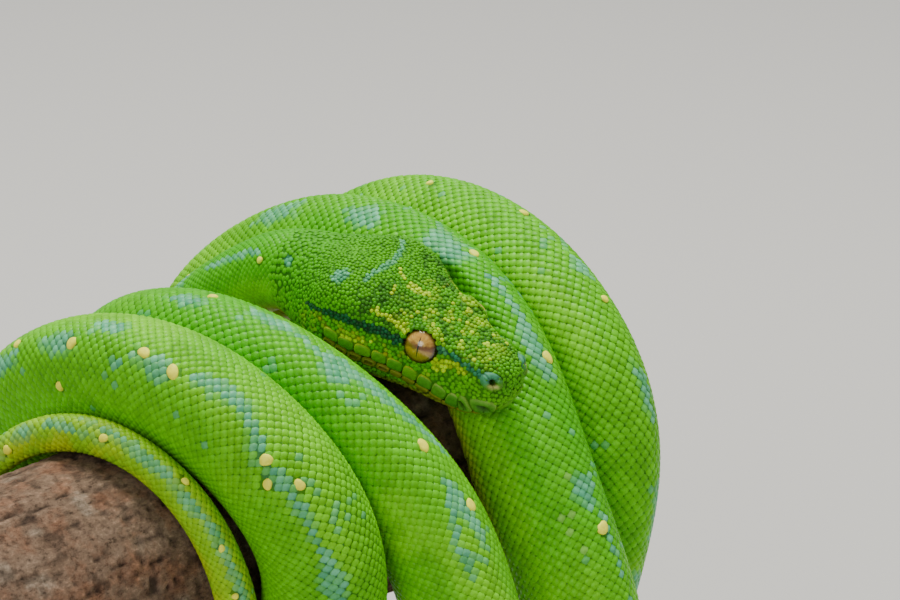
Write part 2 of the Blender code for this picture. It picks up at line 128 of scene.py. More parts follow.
# share of the body's length, half width
GIRTH = [(0.055, 7.4), (0.075, 8.4), (0.11, 9.5), (0.15, 10.2), (0.19, 10.6), (0.225, 11.5), (0.26, 11.5), (0.30, 11.4),
         (0.42, 11.3), (0.55, 11.1), (0.66, 11.5), (0.73, 12.1), (0.785, 11.9), (0.82, 11.2), (0.845, 10.0), (0.87, 8.1),
         (0.895, 6.0), (0.92, 4.0), (0.95, 3.65), (0.972, 3.0), (0.988, 2.3), (1.0, 0.9)]
BODY_RISE, BODY_DEPTH, RIDGE, BELLY = 1.10, 1.06, 1.78, 2.15   # a body taller than wide, with a soft ridge on the spine
SKULL_END = 56.0               # behind this the body is soft enough to press flat
CONTACT = 0.42                 # gap where two lengths of the body press together
SOFT = 0.8                     # rounding of the pressed flats

# where the body is parted, by distance behind the snout
LENGTHS = [('neck', 56.0, 104.0), ('trunk_1', 104.0, 205.0), ('trunk_2', 205.0, 328.0), ('trunk_3', 328.0, 440.0),
           ('trunk_4', 440.0, 560.0), ('trunk_5', 560.0, 628.0), ('trunk_6', 628.0, 700.0), ('trunk_7', 700.0, 835.0),
           ('trunk_8', 835.0, 905.0), ('trunk_9', 905.0, 970.0), ('trunk_10', 970.0, 1090.0),
           ('tail_1', 1090.0, 1195.0), ('tail_2', 1195.0, 5000.0)]
RING_STEP, BODY_SIDES, HEAD_SIDES = 7.4, 16, 24


# ---------------------------------------------------------------------------------------------- curves and sections
def unit(v):
    v = np.asarray(v, float)
    return v / np.maximum(np.linalg.norm(v, axis=-1, keepdims=True), 1e-12)


def smooth(table, x, col=1):
    """A monotone cubic through the rows of a table."""
    t = np.asarray(table, float)
    X, Y = t[:, 0], t[:, col]
    h = np.diff(X)
    d = np.diff(Y) / h
    m = np.zeros_like(Y)
    for i in range(1, len(X) - 1):
        if d[i-1]*d[i] > 0:
            w1, w2 = 2*h[i] + h[i-1], h[i] + 2*h[i-1]
            m[i] = (w1 + w2)/(w1/d[i-1] + w2/d[i])
    m[0], m[-1] = d[0], d[-1]
    x = np.clip(np.asarray(x, float), X[0], X[-1])
    i = np.clip(np.searchsorted(X, x, side='right') - 1, 0, len(X) - 2)
    u = (x - X[i])/h[i]
    return ((1 + 2*u)*(1 - u)**2*Y[i] + u*(1 - u)**2*h[i]*m[i]
            + u*u*(3 - 2*u)*Y[i+1] + u*u*(u - 1)*h[i]*m[i+1])


def perch_radius(x):
    return smooth(PERCH, x)


def crossing(name, towards_far):
    (xf, xc, xn), (rf, rc, rn), (lf, lc, ln) = CROSSING[name]
    out = []
    for deg in (-80, -40, 0, 40, 80):
        w, t = deg/80.0, radians(deg)
        curve = lambda f, c, n: c + (n - f)/2*w + ((n + f)/2 - c)*w*w
        r = curve(rf, rc, rn)
        out.append((curve(xf, xc, xn), -r*sin(t), r*cos(t), curve(lf, lc, ln)))
    return out[::-1] if towards_far else out


def control_points():
    """The strand's control points from the snout to the tip of the tail: x, y, z, lean."""
    ho, hf = np.array(HEAD_POINT), unit(HEAD_AHEAD)
    pts = [tuple(ho + hf*a) + (0,) for a in (HEAD_LENGTH, 42.0, 31.0, 20.0, 0.0)] + [tuple(ho - hf*14.0) + (-8,)]
    pts += NECK
    for bend, cross, towards_far in ORDER:
        x, y, z, wa, wb, ya, yb = BEND[bend]
        side = 1 if bend[0] == 'f' else -1
        lean = CROSSING[cross][2][1]*0.35
        f = BEND_FLOOR
        pts += [(x + wa, side*ya, z*0.45, lean), (x + wa*f, side*(y*0.7 + ya*0.3), z, 0),
                (x + wb*f, side*(y*0.7 + yb*0.3), z, 0), (x + wb, side*yb, z*0.45, lean)]
        pts += crossing(cross, towards_far)
    xa, ra = CROSSING['A'][0][0], CROSSING['A'][1][0]
    xt, rt = CROSSING['T'][0][2], CROSSING['T'][1][2]
    for i, deg in enumerate((-125, -165, -205, -245)):      # the tail goes round under the branch
        k, t = (i + 1)/5.0, radians(deg)
        r = ra + (rt - ra)*k
        pts.append((xa + (xt - xa)*k + WRAP_SHIFT*sin(pi*k), -r*sin(t), r*cos(t), -15))
    pts += crossing('T', True)
    x, r, t = CROSSING['T'][0][0] - 2, CROSSING['T'][1][0]*0.98, radians(-118)
    pts.append((x, -r*sin(t), r*cos(t), 0))
    return np.array(pts, float)


def b_spline(c, n):
    c = np.vstack([2*c[0] - c[1], c, 2*c[-1] - c[-2]])
    t = np.linspace(0, 1, n, endpoint=False)[:, None]
    out = []
    for i in range(len(c) - 3):
        a, b, d, e = c[i:i+4]
        out.append(((1-t)**3*a + (3*t**3 - 6*t**2 + 4)*b + (-3*t**3 + 3*t**2 + 3*t + 1)*d + t**3*e)/6)
    out.append(((c[-3] + 4*c[-2] + c[-1])/6)[None])
    return np.vstack(out)


class Strand:
    """Axis, frame and section of the whole snake, by distance behind the snout."""

    def __init__(self, n=24):
        c = b_spline(control_points(), n)
        p = c[:, :3]
        d = np.r_[0, np.cumsum(np.linalg.norm(np.diff(p, axis=0), axis=1))]
        tip = np.array(HEAD_POINT) + unit(HEAD_AHEAD)*HEAD_LENGTH
        lead = max(float((tip - p[0]) @ unit(HEAD_AHEAD)), 1e-6)
        self.p = np.vstack([tip[None], p])
        self.lean = np.r_[c[0, 3], c[:, 3]]
        self.d = np.r_[0, d + lead]
        self.length = self.d[-1]

    def at(self, s):
        return np.stack([np.interp(s, self.d, self.p[:, k]) for k in range(3)], -1)

    def frame(self, s):
        s = np.asarray(s, float)
        p = (self.at(s - 0.5) + self.at(s) + self.at(s + 0.5))/3
        p = np.where((s < 3)[..., None], self.at(s), p)
        t = unit(self.at(np.clip(s + 1.2, 0, self.length)) - self.at(np.clip(s - 1.2, 0, self.length)))
        lean = np.radians(np.interp(s, self.d, self.lean))[..., None]
        out = unit(np.stack([0*s, p[..., 1], p[..., 2]], -1))*np.cos(lean) + np.array([1.0, 0, 0])*np.sin(lean)
        k = np.clip((s - 48.0)/34.0, 0, 1)[..., None]
        k = k*k*(3 - 2*k)
        up = unit(HEAD_UP)*(1 - k) + out*k
        up = unit(up - t*(up*t).sum(-1, keepdims=True))
        return p, t, up, np.cross(t, up)

    def section(self, s):
        """half width, rise, depth, squareness above and below"""
        s = np.asarray(s, float)
        g = smooth(GIRTH, s/self.length)
        k = np.clip((s - 60.0)/25.0, 0, 1)
        k = k*k*(3 - 2*k)
        body = [g, g*BODY_RISE, g*BODY_DEPTH, RIDGE + 0*g, BELLY + 0*g]
        return [smooth(HEAD, s, i + 1)*(1 - k) + body[i]*k for i in range(5)]


def reach(v, up, left, w, h):
    """How far an oval section reaches in a direction."""
    return np.sqrt((w*(v*left).sum(-1))**2 + (h*(v*up).sum(-1))**2)


def relief(a, f):
    """Swelling of the head by distance behind the snout and angle from the crown."""
    return sum(h*np.exp(-((a - a0)/da)**2 - ((f - f0)/df)**2) for h, a0, da, f0, df in HEAD_RELIEF)


def rings(strand, s, phi):
    """Points of the body: s by phi, phi 0 on the spine and growing to the snake's right."""
    p, t, up, left = strand.frame(s)
    w, hi, lo, nu, nl = strand.section(s)
    c, q = np.cos(phi)[None], np.sin(phi)[None]
    n = np.where(c >= 0, nu[:, None], nl[:, None])
    x = w[:, None]*np.sign(q)*np.abs(q)**(2/n)
    y = np.where(c >= 0, hi[:, None], lo[:, None])*np.sign(c)*np.abs(c)**(2/n)
    P = p[:, None] - left[:, None]*x[..., None] + up[:, None]*y[..., None]
    # relief of the head
    a, f = s[:, None], np.minimum(phi, 2*pi - phi)[None]
    bump = relief(a, f)
    fade = np.clip(s/2.5, 0, 1)[:, None]*(s < 75)[:, None]
    P = P + unit(P - p[:, None])*(bump*fade)[..., None]
    return press(strand, s, P)


def press(strand, s, P):
    """The body sags onto the branch, and its lengths press flat against each other."""
    p, t, up, left = strand.frame(s)
    w, hi, lo = strand.section(s)[:3]
    rad = np.hypot(p[:, 1], p[:, 2])
    inward = unit(np.stack([0*rad, -p[:, 1], -p[:, 2]], -1))
    o = P - p[:, None]
    g = rad - perch_radius(p[:, 0]) - (o*inward[:, None]).sum(-1).max(1) - 0.35
    e = np.clip(g, 0, 2.5)*np.clip((p[:, 2] - 4)/14, 0, 1)*np.clip((s - 130)/30, 0, 1)
    cosd = (o*inward[:, None]).sum(-1)/np.maximum(np.linalg.norm(o, axis=-1), 1e-6)
    P = P + inward[:, None]*(e[:, None]*((1 + cosd)/2)**4)[..., None]
    q = np.arange(2.0, strand.length, 3.0)
    pq, _, uq, lq = strand.frame(q)
    wq, hq, bq = strand.section(q)[:3]
    for i in range(len(s)):
        if s[i] < SKULL_END:
            continue
        D = np.linalg.norm(pq - p[i], axis=1)
        near = set(np.where((abs(q - s[i]) > 4.2*w[i] + 8) & (D < 1.25*(w[i] + wq) + 6))[0])
        for j in near:
            if (j - 1 in near and D[j-1] < D[j]) or (j + 1 in near and D[j+1] <= D[j]) or j in (0, len(q) - 1):
                continue
            d0, d1, d2 = D[j-1]**2, D[j]**2, D[j+1]**2
            off = float(np.clip(0.5*(d0 - d2)/max(d0 - 2*d1 + d2, 1e-6), -0.5, 0.5))
            m, f = j + (1 if off > 0 else -1), abs(off)
            mix = lambda a: a[j]*(1 - f) + a[m]*f
            v = mix(pq) - p[i]
            dist = np.linalg.norm(v)
            v = v/dist
            ri = reach(v, up[i], left[i], w[i], (hi[i] + lo[i])/2)
            rj = reach(v, mix(uq), mix(lq), mix(wq), (mix(hq) + mix(bq))/2)
            skull = q[j] < SKULL_END
            share, soft = (1.0, 2.0) if skull else (0.5, SOFT)
            if skull:
                rj += 0.5 + max(relief(q[j], np.arccos(np.clip(-v @ uq[j], -1, 1))), 0)
            h = ri - (ri + rj - dist)*share - CONTACT*share
            over = (P[i] - p[i]) @ v - h
            cut = np.where(over > soft, over, np.where(over > -soft, (over + soft)**2/(4*soft), 0))
            P[i] -= v*cut[:, None]
    rr = np.hypot(P[..., 1], P[..., 2])
    need = perch_radius(P[..., 0]) + 0.35
    f = np.where((P[..., 0] < PERCH[-1][0] + 1) & (rr < need), need/np.maximum(rr, 1e-6), 1.0)
    P[..., 1] *= f
    P[..., 2] *= f
    return P


def world(P):
    P = np.asarray(P, float)
    return (P + np.array([-BASE_CENTRE_X, 0, AXIS_HEIGHT]))*MM


def eye_place(strand, side):
    """Centre and outward axis of an eyeball; side +1 is the snake's right."""
    s = np.array([EYE_BEHIND_SNOUT - 0.6, EYE_BEHIND_SNOUT, EYE_BEHIND_SNOUT + 0.6])
    phi = np.array([EYE_ANGLE - 0.06, EYE_ANGLE, EYE_ANGLE + 0.06])
    P = rings(strand, s, phi if side > 0 else 2*pi - phi)
    n = unit(np.cross(P[2, 1] - P[0, 1], P[1, 2] - P[1, 0]))
    c = strand.at(EYE_BEHIND_SNOUT)
    if n @ (P[1, 1] - c) < 0:
        n = -n
    return P[1, 1] - n*EYE_SUNK, n


# ---------------------------------------------------------------------------------------------- looks: sizes
COAT = 0.30                    # how far the skin lies inside the solids
# pitch of the scales along a row, by distance behind the snout
SCALE_LENGTH = [(58, 1.28), (80, 1.46), (160, 1.90), (300, 2.02), (400, 1.86), (560, 1.86), (700, 1.98), (850, 1.98), (1000, 1.58), (1100, 1.56), (1210, 1.58), (1345, 1.45)]
FIRST_SCALE = 58.5             # behind this the scales lie in rows
BELLY_SHARE = 0.20             # share of the girth that the belly plates take
# rows on each side of the spine's row, by distance behind the snout
ROWS = [(0, 26), (1095, 25), (1104, 24), (1113, 23), (1122, 22), (1132, 21), (1142, 20), (1152, 19), (1162, 18), (1173, 17), (1183, 16),
        (1193, 15), (1204, 14), (1215, 13), (1227, 12), (1240, 11), (1256, 10), (1274, 9), (1290, 8), (1304, 7), (1316, 6), (1328, 5), (1338, 4)]
SCALES_PER_PIECE = 6200
GRANULE = 0.88                 # pitch of the head's small scales
EYE_RIM, EYE_RING = 3.50, 3.93
LID_TALL, LID_WIDE = 0.94, 1.07
NOSTRIL = (2.45, 57.0)         # distance behind the snout, degrees from the crown


def srgb(r, g, b):
    c = np.array([r, g, b], float)/255
    return np.where(c <= 0.04045, c/12.92, ((c + 0.055)/1.055)**2.4)


GREEN, LIGHT_GREEN, DEEP_GREEN = srgb(97, 190, 0), srgb(142, 222, 12), srgb(62, 142, 0)
BLUE, PALE_BLUE, TEAL = srgb(48, 144, 106), srgb(104, 190, 140), srgb(16, 78, 62)
CREAM, YELLOW, BELLY_YELLOW = srgb(250, 250, 72), srgb(168, 214, 0), srgb(212, 214, 70)
GOLD = srgb(196, 232, 0)
TAIL_GREEN = srgb(144, 200, 16)

# blue patches: distance behind the snout, degrees from the spine (+ on the snake's right), half length, half width
BLUE_PATCHES = [
    (1079, 14, 3.8, 2.6), (1070, -19, 2.6, 2.2), (1059, 3, 3.4, 2.6), (1030, 8, 6.0, 1.7),
    (1013, 6, 4.4, 2.6), (1066, 20, 1.2, 1.1), (1046.5, -13.5, 4.0, 2.5),
    (515, -2, 3.2, 2.3), (500, -29, 3.6, 1.9), (486, -21, 2.3, 3.1), (454, -27, 4.8, 1.8), (446, 2, 3.2, 2.2),
    (240, -35, 4.6, 2.8), (262, -36, 3.8, 2.3), (281, -25, 4.6, 2.8), (306, -19, 4.2, 2.0), (334, -25, 3.2, 2.4),
    (810, 3, 3.0, 2.2), (833, 4, 3.8, 2.6),
    (55.3, 45, 1.3, 1.1), (38.9, 37, 1.7, 1.4),
    (1299, 46, 2.2, 1.6), (1281, 48, 1.6, 1.1),
]
# streaks: points (distance, degrees), then the half width at the first and at the last
BLUE_STREAKS = [
    ([(1051.5, -9), (1048, -14), (1044, -16), (1040, -6), (1037, 2)], 1.9, 1.5), ([(500, -22), (494, -31), (486, -25)], 1.0, 0.9),
    ([(1293, 22), (1290, 36), (1287, 42)], 1.0, 0.9), ([(1284.5, 52), (1283, 12), (1279, 18), (1274, 27), (1268, 27), (1264, 20)], 1.0, 1.2),
    ([(1264, 34), (1260, 22), (1256, 14), (1251, 2), (1247, 6), (1243, 0), (1238, 6)], 1.1, 1.5),
    ([(487, -34), (475, -45), (464, -60)], 1.7, 1.4), ([(290, -16), (297, -15), (302, -17)], 0.8, 0.8),
    ([(338, -12), (347, -3), (357, 6)], 0.8, 0.7), ([(77, 27), (69, 37), (63, 42)], 0.7, 0.8),
    ([(34.2, 29), (34.3, 20), (34.3, 10), (34.4, 1), (35.0, -8), (36.0, -17), (38.4, -28)], 0.62, 0.62),
    ([(1035, 7), (1024, 9), (1016, 4)], 1.1, 1.1), ([(460, -27), (447, 8)], 0.9, 0.9),
]
TEAL_STREAKS = [([(44.5, 71), (41.3, 69), (38.3, 66.5), (35.3, 65), (32.8, 63.5), (30.3, 63), (28.3, 62), (26.3, 61), (24.3, 61), (22.4, 61)], 0.35, 1.30),
                ([(14.9, 49), (13.3, 48.5), (11.3, 49.5), (8.8, 50.5), (6.8, 54), (4.6, 54)], 0.62, 0.66)]
# cream spots of one to three large scales: distance, degrees, radius
SPOTS = [
    (1076, 12, 1.5), (1062, -2, 1.5), (1056, 2, 1.6), (1079, 52, 1.1), (1036, 6, 1.3), (1033, 20, 1.2), (1030, -8, 1.2),
    (512, -24, 1.2), (467, -34, 1.6), (454, -40, 1.6), (285, -6, 1.3), (308, -9, 1.5), (342, -15, 1.6), (276, -50, 1.7),
    (775, -24, 1.0), (795, -2, 1.1), (817, 2, 1.1), (61.8, 55, 0.9), (1304, 78, 1.5), (1280, 42, 1.4), (1263, -13, 1.3),
    (1250, 12, 1.0), (1241, 24, 1.0),
]
# yellow on the head: points and half widths as above; the same on both sides but for those on the crown
YELLOW_STREAKS = [([(29.2, 45), (27.3, 45), (25.8, 45), (23.8, 46.5), (22.0, 48)], 0.60, 1.20), ([(8.3, 63), (10.4, 63), (12.4, 66), (14.4, 72)], 0.85, 1.95),
                  ([(34.8, 80), (31.0, 78), (27.0, 75)], 0.25, 0.45)]
CROWN_YELLOW = [([(28.0, 4), (26.4, 4), (24.9, 1)], 0.85, 1.05), ([(32.0, 0), (29.8, 4)], 0.30, 0.35), ([(29.6, 14), (28.6, 22)], 0.25, 0.3)]
# small yellow blots: distance, degrees, radius
YELLOW_BLOTS = [(9.3, 40, 0.85), (8.8, 29, 0.8), (16.6, -16, 0.6), (16.6, 27, 0.7), (12.2, 15, 0.6), (18.3, 9, 0.65), (16.3, -4, 0.75), (13.9, 4, 0.55), (14.8, 15, 0.45), (10.8, 18, 0.55), (8.6, 27, 0.65),
                (7.3, 37, 0.75), (9.2, -2, 0.5), (11.3, -6, 0.5), (12.6, -12, 0.5), (17.2, -22, 0.6), (9.8, -24, 0.6), (6.8, -34, 0.6),
                (5.6, 14, 0.45), (3.4, 22, 0.4), (20.5, -14, 0.5), (5.4, -12, 0.45)]


# ---------------------------------------------------------------------------------------------- surface
def noise(x, y, seed=0):
    """Smooth value noise, 0 to 1."""
    x, y = np.asarray(x, float), np.asarray(y, float)
    ix, iy = np.floor(x).astype(np.int64), np.floor(y).astype(np.int64)
    fx, fy = x - ix, y - iy
    fx, fy = fx*fx*(3 - 2*fx), fy*fy*(3 - 2*fy)

    def h(i, j):
        n = (i*374761393 + j*668265263 + seed*1274126177) & 0xffffffff
        n = ((n ^ (n >> 13))*1274126177) & 0xffffffff
        return ((n ^ (n >> 16)) & 0xffff)/65535.0
    return ((h(ix, iy)*(1-fx) + h(ix+1, iy)*fx)*(1-fy) + (h(ix, iy+1)*(1-fx) + h(ix+1, iy+1)*fx)*fy)


def fade(x, lo, hi):
    t = np.clip((np.asarray(x, float) - lo)/(hi - lo), 0, 1)
    return t*t*(3 - 2*t)


def mouth_height(s):
    return smooth(MOUTH, s)


def normals(P):
    """Outward normals of a grid of rings."""
    d0 = np.gradient(P, axis=0)
    d1 = np.roll(P, -1, 1) - np.roll(P, 1, 1)
    n = np.cross(d0, d1)
    c = P.mean(1, keepdims=True)
    n = n*np.sign((n*(P - c)).sum(-1).mean(1))[:, None, None]
    return unit(n)


strand = Strand()
END = strand.length - 0.5
GS = np.r_[0.22, 0.45, 0.75, np.arange(1.1, 60.0, 0.36), np.arange(60.2, END, 1.0)]
AROUND = 256
PHI = np.arange(AROUND)*2*pi/AROUND
GP = rings(strand, GS, PHI)
NH = int(np.searchsorted(GS, 60.0))
EYES = {side: eye_place(strand, side) for side in (1, -1)}
NOSTRILS = {side: rings(strand, np.array([NOSTRIL[0]]), np.array([radians(NOSTRIL[1])*side]) % (2*pi))[0, 0] for side in (1, -1)}


def eye_distance(P, side):
    """Distance from the eye's axis, in a measure that makes the lids' opening round; it is wider than tall. Also the
    distance along the axis."""
    c, ax = EYES[side]
    up = strand.frame(np.array([EYE_BEHIND_SNOUT]))[2][0]
    up = unit(up - ax*(up @ ax))
    d = P - c
    return np.hypot((d @ up)/LID_TALL, (d @ np.cross(ax, up))/LID_WIDE), d @ ax


def head_detail(P, s, phi):
    """Lids, nostrils, lip line and furrows worked into the surface of the head."""
    n = normals(P)
    move = np.zeros(P.shape[:2])
    for side in (1, -1):
        c, ax = EYES[side]
        d = P - c
        rho, out = eye_distance(P, side)
        near = out > 0
        move += near*(0.42*np.exp(-((rho - EYE_RIM)/0.40)**2) - 1.6*(1 - fade(rho, 2.75, 3.35)))
        crown = unit(strand.frame(np.array([EYE_BEHIND_SNOUT]))[2][0])
        crown = unit(crown - ax*(crown @ ax))
        above = fade((d @ crown)/np.maximum(rho, 1e-6), 0.1, 0.9)
        move += near*0.50*above*np.exp(-((rho - EYE_RIM - 0.55)/0.80)**2)
        rho = np.linalg.norm(P - NOSTRILS[side], axis=-1)
        move += 0.50*np.exp(-((rho - 1.35)/0.55)**2) - 1.9*(1 - fade(rho, 0.50, 1.05))
    p, t, up, left = strand.frame(s)
    h = ((P - p[:, None])*up[:, None]).sum(-1)
    low = h - mouth_height(s)[:, None]
    on = (fade(s, 2.2, 3.4)*(1 - fade(s, 36.5, 40)))[:, None]
    move -= 0.55*np.exp(-(low/0.30)**2)*on
    # the lower jaw is set in a little under the upper lip
    move -= 0.40*(1 - fade(low, -1.2, 0.0))*on*(1 - fade(s, 22, 38))[:, None]
    f = np.degrees(np.minimum(phi, 2*pi - phi))[None]
    a = s[:, None]
    # canthus, the ridge from the eye to the nose, and the furrow of the chin
    move += 0.35*np.exp(-((f - 42)/9)**2)*fade(a, 3, 7)*(1 - fade(a, 15, 20))
    move -= 0.5*np.exp(-((f - 180)/5.0)**2)*fade(a, 5, 9)*(1 - fade(a, 22, 30))
    return P + n*move[..., None]


GP[:NH + 1] = head_detail(GP[:NH + 1], GS[:NH + 1], PHI)

# rings resampled evenly by girth: GQ at GV of the way round from the spine, with the angle there
ring_step = np.linalg.norm(np.diff(np.concatenate([GP, GP[:, :1]], 1), axis=1), axis=-1)
cum = np.concatenate([np.zeros((len(GS), 1)), np.cumsum(ring_step, 1)], 1)
GIRTH_MM = cum[:, -1]
GV = np.arange(AROUND + 1)/AROUND
GQ = np.zeros((len(GS), AROUND + 1, 3))
GA = np.zeros((len(GS), AROUND + 1))
closed = np.concatenate([GP, GP[:, :1]], 1)
# half the girth each side of the spine, so that the belly's middle stays opposite it
half = AROUND//2
angle = np.degrees(np.r_[PHI, 2*pi])
for i in range(len(GS)):
    right, total = cum[i, half], cum[i, -1]
    where = np.interp(GV, [0, 0.5, 1], [0, right, total])
    for k in range(3):
        GQ[i, :, k] = np.interp(where, cum[i], closed[i, :, k])
    GA[i] = np.interp(where, cum[i], angle)
GN = normals(GQ[:, :-1])
GN = np.concatenate([GN, GN[:, :1]], 1)
# smooth the normals a little along and around
for _ in range(2):
    core = GN[:, :-1]
    core = (np.roll(core, 1, 1) + 2*core + np.roll(core, -1, 1))
    core[1:-1] = core[:-2] + 2*core[1:-1] + core[2:]
    core = unit(core)
    GN = np.concatenate([core, core[:, :1]], 1)
RATE = np.linalg.norm(np.gradient(GQ, axis=0)/np.gradient(GS)[:, None, None], axis=-1)


def lookup(grid, s, v):
    """Bilinear value of a grid at distance s and share v of the way round."""
    s = np.clip(np.asarray(s, float), GS[0], GS[-1] - 1e-6)
    v = np.asarray(v, float) % 1.0
    i = np.clip(np.searchsorted(GS, s, side='right') - 1, 0, len(GS) - 2)
    a = (s - GS[i])/(GS[i+1] - GS[i])
    w = v*AROUND
    j = np.minimum(w.astype(int), AROUND - 1)
    b = w - j
    if grid.ndim == 3:
        a, b = a[..., None], b[..., None]
    return ((grid[i, j]*(1-b) + grid[i, j+1]*b)*(1-a) + (grid[i+1, j]*(1-b) + grid[i+1, j+1]*b)*a)


def girth(s):
    return np.interp(s, GS, GIRTH_MM)


def signed(a):
    a = np.asarray(a, float) % 360
    return np.where(a > 180, a - 360, a)


# ---------------------------------------------------------------------------------------------- markings
def invented_marks():
    """Patches and spots for the remaining lengths, in the same manner."""
    rng = np.random.default_rng(11)
    out, dots = [], []
    for a, b in ((84, 228), (362, 438), (532, 768), (846, 1004), (1090, 1236), (1306, 1334)):
        s = a + 6
        while s < b - 4:
            f = rng.normal(0, 17)
            out.append((s, f, rng.uniform(3.0, 6.5), rng.uniform(2.2, 3.6)))
            if rng.random() < 0.6:
                dots.append((s + rng.uniform(-6, 6), f + rng.choice([-1, 1])*rng.uniform(14, 40), rng.uniform(1.0, 1.5)))
            s += rng.uniform(14, 27)
    return out, dots


MORE_PATCHES, MORE_SPOTS = invented_marks()


def off_path(s, x, pts, mm):
    """Distance in mm from a path given as (distance, degrees) points."""
    best = np.full(np.shape(s), 1e9)
    for (s0, f0), (s1, f1) in zip(pts, pts[1:]):
        ax, ay, bx, by = s0, f0*mm, s1, f1*mm
        dx, dy = bx - ax, by - ay
        t = np.clip(((s - ax)*dx + (x - ay)*dy)/(dx*dx + dy*dy + 1e-9), 0, 1)
        best = np.minimum(best, np.hypot(s - ax - t*dx, x - ay - t*dy))
    return best


def taper(s, pts, w0, w1):
    """Half width of a streak at distance s."""
    (a, b), (u, w) = (pts[0][0], pts[-1][0]), (w0, w1)
    if a > b:
        a, b, u, w = b, a, w, u
    return np.interp(s, [a, b], [u, w])


